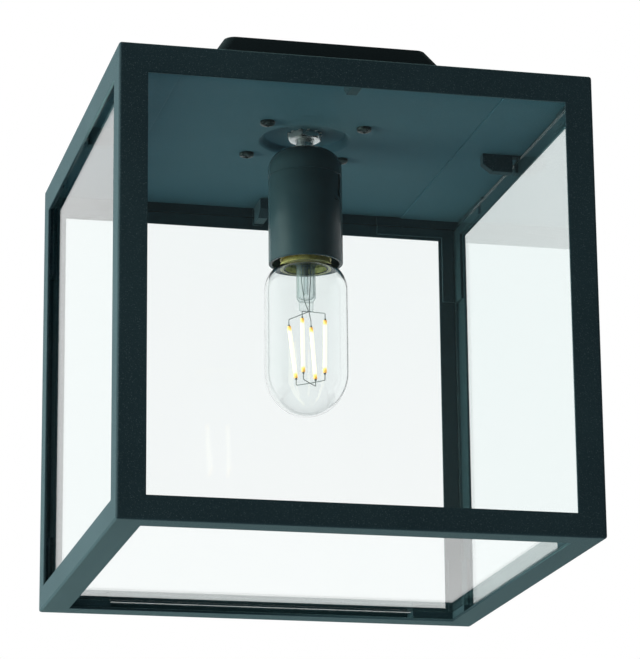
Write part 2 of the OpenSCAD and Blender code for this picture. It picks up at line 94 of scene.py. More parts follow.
def newFinish(name, settings):
    material = bpy.data.materials.new(name)
    material.use_nodes = True
    tree = material.node_tree
    return material, tree, feedAll(tree.nodes["Principled BSDF"], settings)


def newObject(name, data):
    thing = bpy.data.objects.new(name, data)
    bpy.context.scene.collection.objects.link(thing)
    return thing


viewFinder = {"lens": 173.06, "place": (-0.37929, -1.60547, -0.60843), "heading": -13.554, "tilt": 15.715,
              "roll": 0.579, "nearest": 0.05, "farthest": 60}


def makeCamera():
    data = bpy.data.cameras.new("viewFinder")
    data.lens = viewFinder["lens"]
    data.clip_start, data.clip_end = viewFinder["nearest"], viewFinder["farthest"]
    camera = newObject("viewFinder", data)
    turns = ((viewFinder["heading"], "Z"), (viewFinder["tilt"], "X"), (viewFinder["roll"], "Y"), (90, "X"))
    place = Matrix.Translation(viewFinder["place"])
    for degrees, axis in turns:
        place = place @ Matrix.Rotation(math.radians(degrees), 4, axis)
    camera.matrix_world = place
    bpy.context.scene.camera = camera


# darkUntil, brightFrom and the heights are parts of a unit direction, away from the camera or up
room = {"frontLight": 0.15, "backLight": 1.0, "darkUntil": -0.62, "brightFrom": 0.2, "upHeights": (0.4, 0.85),
        "upLight": 0.06, "downHeights": (-0.2, 0.05), "downLight": 0.14, "tint": (0.90, 1.0, 1.0),
        "backdrop": (1, 1, 1)}
lamps = {"softLamp": {"power": 96, "width": 2, "place": (-2.3, -0.1, 0.1), "tint": (0.90, 1.0, 0.90)},
         "floorBounce": {"power": 18, "width": 4, "place": (0, 0.6, -2.3), "tint": (0.80, 0.94, 1.0)}}
porchFloor = {"drop": 2.4, "width": 10, "colour": (0.60, 0.66, 0.70), "rough": 0.8}


def makeWorld():
    # plain white to the eye and through glass; the light on the object is dimmer from the camera's side and above
    world = bpy.data.worlds.new("studioRoom")
    bpy.context.scene.world = world
    world.use_nodes = True
    tree = world.node_tree
    tree.nodes.clear()
    direction = tree.nodes.new("ShaderNodeTexCoord").outputs["Generated"]
    away, up = addNode(tree, "ShaderNodeSeparateXYZ", {0: direction}).outputs[1:]
    strength = rangeOn(tree, away, room["darkUntil"], room["brightFrom"], room["frontLight"], room["backLight"])
    strength.interpolation_type = "SMOOTHSTEP"
    for shade in (rangeOn(tree, up, *room["upHeights"], 1.0, room["upLight"]),
                  rangeOn(tree, up, *room["downHeights"], room["downLight"], 1.0)):
        strength = mathNode(tree, "MULTIPLY", strength, shade)
    roomLight = addNode(tree, "ShaderNodeBackground", {"Color": room["tint"], "Strength": strength})
    backdrop = addNode(tree, "ShaderNodeBackground", {"Color": room["backdrop"]})
    rays = tree.nodes.new("ShaderNodeLightPath").outputs
    # glass shows white unless the ray was mirrored toward the front; a sharp mirror shows white only from behind
    behind = mathNode(tree, "GREATER_THAN", away, 0.0)
    plain = mathNode(tree, "MAXIMUM", mathNode(tree, "LESS_THAN", rays["Glossy Depth"], 0.5), behind)
    inGlass = mathNode(tree, "MAXIMUM", mathNode(tree, "MULTIPLY", rays["Is Transmission Ray"], plain),
                       mathNode(tree, "MULTIPLY", rays["Is Singular Ray"], behind))
    seen = mathNode(tree, "MAXIMUM", rays["Is Camera Ray"], inGlass)
    mix = addNode(tree, "ShaderNodeMixShader", {0: seen, 1: roomLight, 2: backdrop})
    addNode(tree, "ShaderNodeOutputWorld", {"Surface": mix})


def makeLamp(name, look):
    data = bpy.data.lights.new(name, "AREA")
    data.size, data.energy, data.color = look["width"], look["power"], look["tint"]
    lamp = newObject(name, data)
    lamp.visible_camera = False
    lamp.visible_transmission = False
    lamp.location = look["place"]
    middle = (cadSize[0] + cadSize[1]) / 2
    lamp.rotation_euler = (middle - lamp.location).to_track_quat("-Z", "Y").to_euler()


def makeFloor():
    half = porchFloor["width"] / 2
    mesh = bpy.data.meshes.new("porchFloor")
    corners = [(x, y, -porchFloor["drop"]) for x, y in ((-half, -half), (half, -half), (half, half), (-half, half))]
    mesh.from_pydata(corners, [], [(0, 1, 2, 3)])
    mesh.materials.append(newFinish("palePaint", {"Base Color": porchFloor["colour"],
                                                  "Roughness": porchFloor["rough"]})[0])
    newObject("porchFloor", mesh)


bpy.context.scene.view_settings.view_transform = "Standard"
makeCamera()
makeWorld()
for lampName, lampLook in lamps.items():
    makeLamp(lampName, lampLook)
makeFloor()
print("camera, light and floor made")


def objectPlace(tree):
    return tree.nodes.new("ShaderNodeTexCoord").outputs["Object"]


def noiseOn(tree, scale, detail=2, roughness=0.5):
    return addNode(tree, "ShaderNodeTexNoise", {"Scale": scale, "Detail": detail, "Roughness": roughness,
                                                "Vector": objectPlace(tree)})


def rampOn(tree, factor, stops):
    ramp = addNode(tree, "ShaderNodeValToRGB", {0: factor})
    points = ramp.color_ramp.elements
    while len(points) < len(stops):
        points.new(0.5)
    for point, (place, colour) in zip(points, stops):
        point.position = place
        point.color = (*colour, 1)
    return ramp


def twoTones(tree, factor, dark, light, darkUntil=0.3, lightFrom=0.7):
    return rampOn(tree, factor, [(darkUntil, dark), (lightFrom, light)])


def blendColours(tree, factor, first, second):
    mix = tree.nodes.new("ShaderNodeMix")
    mix.data_type = "RGBA"
    return feedAll(mix, {"Factor": factor, 6: first, 7: second}).outputs[2]


def addBump(tree, shader, heights, distance=0.1 * mm):
    # heights: (height, strength) pairs, one bump over the other
    under = {}
    for height, strength in heights:
        bump = addNode(tree, "ShaderNodeBump", {"Strength": strength, "Distance": distance, "Height": height, **under})
        under = {"Normal": bump}
    feed(shader.inputs["Normal"], bump)


powderCoat = {"base": (0.024, 0.047, 0.060), "pale": (0.032, 0.060, 0.074), "speck": (0.16, 0.20, 0.22),
              "rough": (0.56, 0.70), "cloud": 14, "grain": 1150, "fineGrain": 2300, "paleCover": 0.55,
              "speckCover": 0.7, "grainBump": 0.30, "fineBump": 0.18, "bumpHeight": 0.3, "sheen": 0.32}
powderShine = {"Specular IOR Level": 0.12, "Sheen Roughness": 0.35, "Sheen Tint": (0.60, 0.95, 1.0)}
# the pan's copy of the coat is lighter and bluer than the frame's: painted light, for the light that reaches the pan
# and its strips through the glass
litPanCoat = {**powderCoat, "base": (0.046, 0.126, 0.170), "pale": (0.054, 0.140, 0.186), "speck": (0.11, 0.19, 0.23)}
# the canopy's copy of the coat is near black with little sheen: painted shade, darker than the frame's coat
shadedCanopyCoat = {**powderCoat, "base": (0.004, 0.008, 0.011), "pale": (0.006, 0.011, 0.014),
              "speck": (0.03, 0.04, 0.045), "sheen": 0.1}


def makePowderCoat(name, look):
    # fine leathery texture with scattered pale grains
    material, tree, shader = newFinish(name, {**powderShine, "Sheen Weight": look["sheen"]})
    grain, fine = noiseOn(tree, look["grain"], 2.5, 0.55), noiseOn(tree, look["fineGrain"])
    colour = twoTones(tree, noiseOn(tree, look["cloud"], 3), look["base"], look["pale"], 0.35, 0.65)
    colour = blendColours(tree, rangeOn(tree, grain, 0.35, 0.75, 0.0, look["paleCover"]), colour, look["pale"])
    colour = blendColours(tree, rangeOn(tree, fine, 0.62, 0.72, 0.0, look["speckCover"]), colour, look["speck"])
    feedAll(shader, {"Base Color": colour, "Roughness": rangeOn(tree, grain, 0.3, 0.7, *look["rough"])})
    addBump(tree, shader, [(grain, look["grainBump"]), (fine, look["fineBump"])], look["bumpHeight"] * mm)
    return material


# cloud and skin are noise scales per metre
softLook = {"detail": 3, "contrast": 0.5, "darkUntil": 0.3, "skinDetail": 2, "settings": {}}
softLooks = {
    "blackenedSteel": {"tones": ((0.02, 0.032, 0.034), (0.06, 0.085, 0.085)), "darkUntil": 0.35, "cloud": 420,
                       "rough": (0.24, 0.42), "skin": 420, "skinDetail": 3, "bump": 0.1,
                       "settings": {"Metallic": 0.85, "Coat Weight": 0.15}},
    "blackMoulding": {"tones": ((0.030, 0.058, 0.070), (0.037, 0.070, 0.082)), "cloud": 60, "rough": (0.20, 0.27),
                      "skin": 900, "bump": 0.012, "settings": {"Specular IOR Level": 0.16}},
    "plainBrass": {"tones": ((0.72, 0.60, 0.18), (0.90, 0.80, 0.32)), "cloud": 240, "detail": 4, "contrast": 0.6,
                   "rough": (0.22, 0.4), "skin": 1200, "bump": 0.08, "settings": {"Metallic": 0.25}},
    "whiteCeramic": {"tones": ((0.62, 0.61, 0.57), (0.74, 0.73, 0.69)), "cloud": 80, "rough": (0.25, 0.35),
                     "skin": 480, "bump": 0.05},
    "milkyBlockPlastic": {"tones": ((0.66, 0.67, 0.66), (0.76, 0.77, 0.76)), "cloud": 60, "rough": (0.35, 0.45),
                          "skin": 360, "bump": 0.04},
    "brownSleeve": {"tones": ((0.13, 0.045, 0.018), (0.17, 0.06, 0.025)), "cloud": 200, "rough": (0.4, 0.5),
                    "skin": 1200, "bump": 0.05},
    "blueSleeve": {"tones": ((0.02, 0.09, 0.36), (0.03, 0.12, 0.44)), "cloud": 200, "rough": (0.4, 0.5),
                   "skin": 1200, "bump": 0.05},
    "blackLampGlass": {"tones": ((0.006, 0.006, 0.008), (0.012, 0.012, 0.014)), "cloud": 120, "rough": (0.07, 0.17),
                       "skin": 720, "bump": 0.02},
    "greenBoard": {"tones": ((0.02, 0.14, 0.06), (0.03, 0.19, 0.08)), "cloud": 300, "rough": (0.35, 0.45),
                   "skin": 1800, "bump": 0.1},
    "dullNickel": {"tones": ((0.18, 0.20, 0.20), (0.28, 0.31, 0.31)), "cloud": 500, "rough": (0.3, 0.4),
                   "skin": 3000, "bump": 0.05, "settings": {"Metallic": 1.0}}}


def makeSoftFinish(name, look):
    # two near tones in a soft cloud, with a fine skin
    material, tree, shader = newFinish(name, look["settings"])
    cloud = noiseOn(tree, look["cloud"], look["detail"], look["contrast"])
    feedAll(shader, {"Base Color": twoTones(tree, cloud, *look["tones"], look["darkUntil"]),
                     "Roughness": rangeOn(tree, cloud, 0.3, 0.7, *look["rough"])})
    addBump(tree, shader, [(noiseOn(tree, look["skin"], look["skinDetail"]), look["bump"])])
    return material


zincLook = {"spangle": 160, "cloud": 90, "dark": (0.66, 0.69, 0.70), "light": (0.80, 0.82, 0.82),
            "rubbed": (0.58, 0.62, 0.63), "rubbedCover": 0.5, "rough": (0.2, 0.38), "skin": 900, "bump": 0.08}


def makeZinc():
    # bright zinc with cloudy spangle and fine rub marks
    material, tree, shader = newFinish("brightZinc", {"Metallic": 1.0})
    cells = addNode(tree, "ShaderNodeTexVoronoi", {"Scale": zincLook["spangle"], "Vector": objectPlace(tree)})
    cloud = noiseOn(tree, zincLook["cloud"], 4)
    tone = twoTones(tree, cells.outputs["Distance"], zincLook["dark"], zincLook["light"], 0.0, 0.8)
    rubbed = rangeOn(tree, cloud, 0.3, 0.7, 0.0, zincLook["rubbedCover"])
    feedAll(shader, {"Base Color": blendColours(tree, rubbed, tone, zincLook["rubbed"]),
                     "Roughness": rangeOn(tree, cloud, 0.3, 0.7, *zincLook["rough"])})
    addBump(tree, shader, [(noiseOn(tree, zincLook["skin"], 3), zincLook["bump"])])
    return material


earthLook = {"green": (0.02, 0.24, 0.05), "yellow": (0.75, 0.62, 0.04), "stripes": 90, "wobble": 0.6, "rough": 0.45}


def makeEarthSleeve():
    # green and yellow stripes along the wire
    material, tree, shader = newFinish("greenYellowSleeve", {"Roughness": earthLook["rough"]})
    stripes = addNode(tree, "ShaderNodeTexWave", {"Scale": earthLook["stripes"], "Distortion": earthLook["wobble"],
                                                  "Vector": objectPlace(tree)}).outputs["Fac"]
    feed(shader.inputs["Base Color"], twoTones(tree, stripes, earthLook["green"], earthLook["yellow"], 0.55, 0.6))
    addBump(tree, shader, [(noiseOn(tree, 900), 0.05)])
    return material


def letLightThrough(tree, shader, tint):
    # lamps and soft room light reach what is behind the glass
    rays = tree.nodes.new("ShaderNodeLightPath").outputs
    either = mathNode(tree, "MAXIMUM", rays["Is Shadow Ray"], rays["Is Diffuse Ray"])
    clear = addNode(tree, "ShaderNodeBsdfTransparent", {"Color": tint})
    mix = addNode(tree, "ShaderNodeMixShader", {0: either, 1: shader, 2: clear})
    feed(tree.nodes["Material Output"].inputs["Surface"], mix)


paneGlass = {"absorb": (0.10, 0.72, 0.62), "depth": 7.0, "index": 1.3, "thin": (0.985, 0.995, 0.995),
             "clear": (1.0, 1.0, 1.0), "sideSlant": (0.91, 0.985, 0.98), "bottomSlantPaintedLight": (0.985, 1.0, 1.0),
             "shadow": (0.9, 0.93, 0.93)}
lampGlass = {"index": 1.40, "ripple": 0.03, "thin": (0.97, 0.99, 0.985), "clear": (0.99, 1.0, 1.0),
             "shadow": (0.92, 0.95, 0.95), "stemClear": (0.96, 0.98, 0.98), "stemBright": (0.98, 0.99, 0.99),
             "stemEdgePaintedShade": (0.42, 0.47, 0.47), "stemPaintedShine": (0.7, 0.75, 0.75)}


def makePaneGlass(name, slant):
    # float glass: clear through its faces, green where light runs along it to an edge
    material, tree, shader = newFinish(name, {"Transmission Weight": 1.0, "Roughness": 0.0, "IOR": paneGlass["index"]})
    facing = tree.nodes.new("ShaderNodeLayerWeight").outputs["Facing"]
    straight = twoTones(tree, noiseOn(tree, 6), paneGlass["thin"], paneGlass["clear"])
    tone = blendColours(tree, rangeOn(tree, facing, 0.3, 0.8, 0.0, 1.0), straight, slant)
    feed(shader.inputs["Base Color"], tone)
    letLightThrough(tree, shader, paneGlass["shadow"])
    depth = addNode(tree, "ShaderNodeVolumeAbsorption", {"Color": paneGlass["absorb"], "Density": paneGlass["depth"]})
    feed(tree.nodes["Material Output"].inputs["Volume"], depth)
    return material


def makeLampGlass():
    # blown glass, very slightly wavy
    material, tree, shader = newFinish("blownLampGlass", {"Transmission Weight": 1.0, "Roughness": 0.0,
                                                         "IOR": lampGlass["index"]})
    feed(shader.inputs["Base Color"], twoTones(tree, noiseOn(tree, 30), lampGlass["thin"], lampGlass["clear"]))
    addBump(tree, shader, [(noiseOn(tree, 70, 1), lampGlass["ripple"])], 1 * mm)
    letLightThrough(tree, shader, lampGlass["shadow"])
    return material


def makeStemGlass():
    # thin drawn glass that doesn't bend the light; the grey where it curves away is painted shade, and a pale painted
    # shine is mixed in toward its edges
    material, tree, shader = newFinish("pressedStemGlass", {"Roughness": 0.04, "Base Color": lampGlass["stemPaintedShine"]})
    facing = tree.nodes.new("ShaderNodeLayerWeight").outputs["Facing"]
    cloud = twoTones(tree, noiseOn(tree, 40), lampGlass["stemClear"], lampGlass["stemBright"])
    tone = blendColours(tree, rangeOn(tree, facing, 0.45, 0.95, 0.0, 1.0), cloud, lampGlass["stemEdgePaintedShade"])
    clear = addNode(tree, "ShaderNodeBsdfTransparent", {"Color": tone})
    mix = addNode(tree, "ShaderNodeMixShader", {0: rangeOn(tree, facing, 0.0, 1.0, 0.03, 0.3), 1: clear, 2: shader})
    feed(tree.nodes["Material Output"].inputs["Surface"], mix)
    return material


filamentGlow = {"strength": 1.2, "coat": (1.0, 0.72, 0.28), "white": (1.0, 0.96, 0.80), "yellow": (0.95, 0.62, 0.10),
                "amber": (0.62, 0.24, 0.02), "amberLength": 1.6, "endLength": 4.2, "rough": 0.6, "bump": 0.4}


def makeFilamentCoat(low, high):
    # lit phosphor, white along the rod and amber near its two ends
    material, tree, shader = newFinish("litPhosphor", {
        "Roughness": filamentGlow["rough"], "Base Color": filamentGlow["coat"],
        "Emission Strength": filamentGlow["strength"]})
    height = addNode(tree, "ShaderNodeSeparateXYZ", {0: objectPlace(tree)}).outputs["Z"]
    amberEnd, whiteFrom = (filamentGlow[k] * mm / (high - low) for k in ("amberLength", "endLength"))
    stops = [(amberEnd, filamentGlow["amber"]), ((amberEnd + whiteFrom) / 2, filamentGlow["yellow"]),
             (whiteFrom, filamentGlow["white"])]
    stops += [(1 - place, colour) for place, colour in reversed(stops)]
    feed(shader.inputs["Emission Color"], rampOn(tree, rangeOn(tree, height, low, high, 0.0, 1.0), stops))
    addBump(tree, shader, [(noiseOn(tree, 1400, 3), filamentGlow["bump"])], 0.2 * mm)
    return material


filamentLow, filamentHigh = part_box("bulb_filaments")
blackCoat = makePowderCoat("blackPowderCoat", powderCoat)
# lighter copy of the coat for the pan and its strips: painted light
panPaintedLightCoat = makePowderCoat("panPowderCoat", litPanCoat)
# darker copy of the coat for the canopy: painted shade
canopyPaintedShadeCoat = makePowderCoat("canopyPowderCoat", shadedCanopyCoat)
softFinish = {name: makeSoftFinish(name, {**softLook, **look}) for name, look in softLooks.items()}
darkSteel, blackMoulding = softFinish["blackenedSteel"], softFinish["blackMoulding"]
brass, nickel = softFinish["plainBrass"], softFinish["dullNickel"]
zinc = makeZinc()
earthSleeve = makeEarthSleeve()
floatGlass = makePaneGlass("clearFloatGlass", paneGlass["sideSlant"])
# the bottom pane's copy of the glass stays nearly white at a slant: painted light, for the bright floor it reflects
bottomGlassPaintedLight = makePaneGlass("bottomFloatGlass", paneGlass["bottomSlantPaintedLight"])
blownGlass = makeLampGlass()
stemGlass = makeStemGlass()
litPhosphor = makeFilamentCoat(filamentLow.z, filamentHigh.z)
print("finishes made")


def inMetres(shape):
    return SimpleNamespace(**{key: value * mm for key, value in shape.items()})


def smooth(piece, sharpAngle):
    piece.data.polygons.foreach_set("use_smooth", [True] * len(piece.data.polygons))
    piece.data.set_sharp_from_angle(angle=math.radians(sharpAngle))


def newPiece(name, points, faces, material, sharpAngle=35):
    mesh = bpy.data.meshes.new(name)
    mesh.from_pydata([tuple(p) for p in points], [], faces)
    shape = bmesh.new()
    shape.from_mesh(mesh)
    bmesh.ops.remove_doubles(shape, verts=shape.verts, dist=1e-7)
    bmesh.ops.recalc_face_normals(shape, faces=shape.faces)
    shape.to_mesh(mesh)
    shape.free()
    mesh.materials.append(material)
    piece = newObject(name, mesh)
    smooth(piece, sharpAngle)
    return piece


def settle(piece):
    # turns the piece with its modifiers into one plain mesh
    bpy.context.view_layer.update()
    graph = bpy.context.evaluated_depsgraph_get()
    mesh = bpy.data.meshes.new_from_object(piece.evaluated_get(graph), preserve_all_data_layers=True, depsgraph=graph)
    mesh.name = piece.name
    if piece.type == "MESH":
        piece.modifiers.clear()
        piece.data = mesh
        return piece
    name = piece.name
    plain = newObject(name + "Mesh", mesh)
    bpy.data.objects.remove(piece)
    plain.name = name
    return plain


def roundEdges(piece, width, steps=3, sharpest=40, method="ANGLE"):
    for edge in piece.data.edges:
        edge.use_edge_sharp = False
    bevel = piece.modifiers.new("round", "BEVEL")
    bevel.width = width
    bevel.segments = steps
    bevel.limit_method = method
    bevel.angle_limit = math.radians(sharpest)
    piece.modifiers.new("even", "WEIGHTED_NORMAL")
    return settle(piece)


def cut(piece, tool, how="DIFFERENCE"):
    knife = piece.modifiers.new("cut", "BOOLEAN")
    knife.operation = how
    knife.object = tool
    knife.solver = "EXACT"
    settle(piece)
    bpy.data.objects.remove(tool)


def joinPieces(piece, other):
    # adds the other piece's mesh, with its finish, to the first
    shape = bmesh.new()
    shape.from_mesh(piece.data)
    first = len(shape.faces)
    shape.from_mesh(other.data)
    shape.faces.ensure_lookup_table()
    material = other.data.materials[0]
    if material not in list(piece.data.materials):
        piece.data.materials.append(material)
    for face in shape.faces[first:]:
        face.material_index = list(piece.data.materials).index(material)
    shape.to_mesh(piece.data)
    shape.free()
    bpy.data.objects.remove(other)
    return piece


def filleted(corners, closed=False, steps=5):
    # corners are (x, y, radius); each corner becomes an arc of that radius
    path = []
    last = len(corners) - 1
    for i, (x, y, radius) in enumerate(corners):
        here = Vector((x, y))
        if radius <= 0 or (not closed and i in (0, last)):
            path.append((x, y))
            continue
        before = (Vector(corners[i - 1][:2]) - here).normalized()
        after = (Vector(corners[(i + 1) % (last + 1)][:2]) - here).normalized()
        halfAngle = before.angle(after) / 2
        reach = radius / math.tan(halfAngle)
        centre = here + (before + after).normalized() * radius / math.sin(halfAngle)
        first, second = here + before * reach - centre, here + after * reach - centre
        start = math.atan2(first.y, first.x)
        sweep = (math.atan2(second.y, second.x) - start + math.pi) % (2 * math.pi) - math.pi
        for k in range(steps + 1):
            angle = start + sweep * k / steps
            path.append((centre.x + radius * math.cos(angle), centre.y + radius * math.sin(angle)))
    return path


def squarer(value, fullness):
    # a fullness over 2 makes an arc squarer than an ellipse
    return math.copysign(abs(value) ** (2 / fullness), value)


def ellipseArc(centreX, centreZ, halfX, halfZ, fromAngle, toAngle, steps, fullness=2.0):
    turns = [math.radians(fromAngle + (toAngle - fromAngle) * k / steps) for k in range(steps + 1)]
    return [(centreX + halfX * squarer(math.cos(t), fullness), centreZ + halfZ * squarer(math.sin(t), fullness))
            for t in turns]


def skin(loops, closed=True):
    # faces between rings of points; a ring of one point is a pole
    points, spans, faces = [], [], []
    for loop in loops:
        spans.append(range(len(points), len(points) + len(loop)))
        points += loop
    pairs = list(zip(spans, spans[1:])) + ([(spans[-1], spans[0])] if closed else [])
    for low, high in pairs:
        steps = max(len(low), len(high))
        for k in range(steps):
            n = (k + 1) % steps
            face = list(dict.fromkeys((low[k % len(low)], low[n % len(low)], high[n % len(high)], high[k % len(high)])))
            if len(face) > 2:
                faces.append(face)
    return points, faces


def around360(steps):
    return [2 * math.pi * k / steps for k in range(steps)]


def loopAt(z, steps, reach):
    # one level loop; reach gives its radius in each direction
    return [(reach(t) * math.cos(t), reach(t) * math.sin(t), z) for t in around360(steps)]


def rings(profile, steps):
    # profile is (radius, height) pairs in metres; no radius makes a pole
    return [[(0, 0, z)] if r < 1e-7 else loopAt(z, steps, lambda t: r) for r, z in profile]


def lathe(name, profile, material, steps=96, closed=True, sharpAngle=35):
    return newPiece(name, *skin(rings(profile, steps), closed), material, sharpAngle)


def squareRing(half, radius, z, steps):
    loop = []
    for turn in around360(4):
        for k in range(steps + 1):
            t = math.pi / 2 * k / steps
            x, y = half - radius + radius * math.cos(t), half - radius + radius * math.sin(t)
            loop.append((x * math.cos(turn) - y * math.sin(turn), x * math.sin(turn) + y * math.cos(turn), z))
    return loop


def prism(name, outline, low, high, material, level=True):
    # an outline pulled from low to high: a level one upward, a standing one along Y
    n = len(outline)
    points = [(u, v, end) if level else (u, end, v) for end in (low, high) for u, v in outline]
    faces = [[k, (k + 1) % n, n + (k + 1) % n, n + k] for k in range(n)]
    return newPiece(name, points, faces + [list(range(n)), list(range(n, 2 * n))], material)


def block(name, low, high, material):
    (x0, y0, z0), (x1, y1, z1) = low, high
    return prism(name, [(x0, y0), (x1, y0), (x1, y1), (x0, y1)], z0, z1, material)


def dress(piece, body, slot, node, *more):
    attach(piece, body)
    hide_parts(node, *more)


def makeSheet(name, node, body, slot, material, edge, steps):
    # a flat piece as large as its solid, with rounded edges
    dress(roundEdges(block(name, *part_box(node), material), edge * mm, steps), body, slot, node)


def newTree(name, inputs):
    tree = bpy.data.node_groups.new(name, "GeometryNodeTree")
    for label, kind in inputs.items():
        tree.interface.new_socket(name=label, in_out="INPUT", socket_type="NodeSocket" + kind)
    tree.interface.new_socket(name="Result", in_out="OUTPUT", socket_type="NodeSocketGeometry")
    return tree, tree.nodes.new("NodeGroupInput").outputs


def endTree(tree, geometry, material):
    # every tree ends in plain geometry with its finish set
    whole = addNode(tree, "GeometryNodeRealizeInstances", {0: geometry})
    finished = addNode(tree, "GeometryNodeSetMaterial", {"Geometry": whole, "Material": material})
    addNode(tree, "NodeGroupOutput", {"Result": finished})
    return tree


def placeNode(tree, x, y, z):
    return addNode(tree, "ShaderNodeCombineXYZ", {0: x, 1: y, 2: z})


def sweepNode(tree, path, sides, radius):
    outline = addNode(tree, "GeometryNodeCurvePrimitiveCircle", {"Resolution": sides, "Radius": radius})
    return addNode(tree, "GeometryNodeCurveToMesh", {"Curve": path, "Profile Curve": outline, "Fill Caps": True})


def makeAroundTree():
    # copies of one part, turned with their place on a circle
    tree, given = newTree("partsAround", {"Part": "Object", "Count": "Int", "Radius": "Float",
                                          "First angle": "Float", "Part turn": "Float", "Finish": "Material"})
    wholeTurns = mathNode(tree, "MULTIPLY", tree.nodes.new("GeometryNodeInputIndex"), 2 * math.pi)
    angle = mathNode(tree, "ADD", mathNode(tree, "DIVIDE", wholeTurns, given["Count"]), given["First angle"])
    x, y = (mathNode(tree, "MULTIPLY", given["Radius"], mathNode(tree, way, angle)) for way in ("COSINE", "SINE"))
    line = addNode(tree, "GeometryNodeMeshLine", {"Count": given["Count"]})
    spots = addNode(tree, "GeometryNodeSetPosition", {"Geometry": line, "Position": placeNode(tree, x, y, 0.0)})
    part = addNode(tree, "GeometryNodeObjectInfo", {"Object": given["Part"]}).outputs["Geometry"]
    partAngle = mathNode(tree, "ADD", angle, given["Part turn"])
    turn = addNode(tree, "FunctionNodeEulerToRotation", {0: placeNode(tree, 0.0, 0.0, partAngle)})
    copies = addNode(tree, "GeometryNodeInstanceOnPoints", {"Points": spots, "Instance": part, "Rotation": turn})
    return endTree(tree, copies, given["Finish"])


def makeWireTree():
    # a round wire along every line of a route, with its bends rounded
    tree, given = newTree("wireAlongRoute", {"Route": "Geometry", "Wire radius": "Float", "Bend radius": "Float",
                                             "Sides": "Int", "Finish": "Material"})
    bend = tree.nodes.new("GeometryNodeFilletCurve")
    bend.mode = "POLY"
    feedAll(bend, {"Curve": given["Route"], "Radius": given["Bend radius"], "Count": 6, "Limit Radius": True})
    return endTree(tree, sweepNode(tree, bend, given["Sides"], given["Wire radius"]), given["Finish"])


def makeThreadTree():
    # a screw thread's ridge, wound up a cylinder
    tree, given = newTree("threadRidge", {"Radius": "Float", "Pitch": "Float", "Turns": "Float", "Ridge": "Float",
                                          "Steps": "Int", "Foot": "Float", "Finish": "Material"})
    path = addNode(tree, "GeometryNodeCurveSpiral", {
        "Resolution": given["Steps"], "Rotations": given["Turns"], "Start Radius": given["Radius"],
        "End Radius": given["Radius"], "Height": mathNode(tree, "MULTIPLY", given["Pitch"], given["Turns"])})
    lifted = addNode(tree, "GeometryNodeSetPosition", {"Geometry": path,
                                                       "Offset": placeNode(tree, 0.0, 0.0, given["Foot"])})
    return endTree(tree, sweepNode(tree, lifted, 4, given["Ridge"]), given["Finish"])


def runTree(name, tree, values, source=None):
    # builds a piece with a tree; source is the object the tree starts from, if it needs one
    if source is None:
        source = newObject(name, bpy.data.meshes.new(name))
    sockets = {item.name: item.identifier for item in tree.interface.items_tree if item.in_out == "INPUT"}
    build = source.modifiers.new("build", "NODES")
    build.node_group = tree
    for label, value in values.items():
        build[sockets[label]] = value
    return settle(source)


def around(name, part, material, count=4, radius=0.0, firstAngle=0, partTurn=0):
    # part is a finished object; its copies replace it
    piece = runTree(name, aroundTree, {"Part": part, "Count": count, "Radius": radius,
                                       "First angle": math.radians(firstAngle), "Part turn": math.radians(partTurn),
                                       "Finish": material})
    bpy.data.objects.remove(part)
    return piece


def wires(name, routes, radius, bend, material, sides=12):
    # one curve object holds all the routes, each a list of points in metres
    curve = bpy.data.curves.new(name, "CURVE")
    curve.dimensions = "3D"
    for route in routes:
        line = curve.splines.new("POLY")
        line.points.add(len(route) - 1)
        for spot, place in zip(line.points, route):
            spot.co = (*place, 1)
    piece = runTree(name, wireTree, {"Wire radius": radius, "Bend radius": bend, "Sides": sides, "Finish": material},
                    newObject(name, curve))
    smooth(piece, 50)
    return piece


aroundTree = makeAroundTree()
wireTree = makeWireTree()
threadTree = makeThreadTree()
print("node trees made")


boxLow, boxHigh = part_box("post_front_left")[0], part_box("post_back_right")[1]
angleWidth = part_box("post_front_left")[1].x - boxLow.x
topLeg = boxHigh.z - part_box("top_rail_front")[0].z
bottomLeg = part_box("bottom_rail_front")[1].z - boxLow.z
weldedBox = {"metal": 1.5, "outerRound": 1.4, "legRound": 0.35, "weldRound": 0.6, "steps": 4}


def windowSide(axis, side, metal, windowLow, windowHigh):
    # one side of the box: outside, window edge and inside, as rings of four corners
    across = [k for k in range(3) if k != axis]
    outside = boxHigh[axis] if side > 0 else boxLow[axis]

    def corners(level, lows, highs):
        loop = [[lows[0], lows[1]], [highs[0], lows[1]], [highs[0], highs[1]], [lows[0], highs[1]]]
        for place in loop:
            place.insert(axis, level)
        return loop

    lows, highs = [boxLow[k] for k in across], [boxHigh[k] for k in across]
    inside = outside - side * metal
    return [corners(outside, lows, highs), corners(outside, windowLow, windowHigh),
            corners(inside, windowLow, windowHigh),
            corners(inside, [v + metal for v in lows], [v - metal for v in highs])]


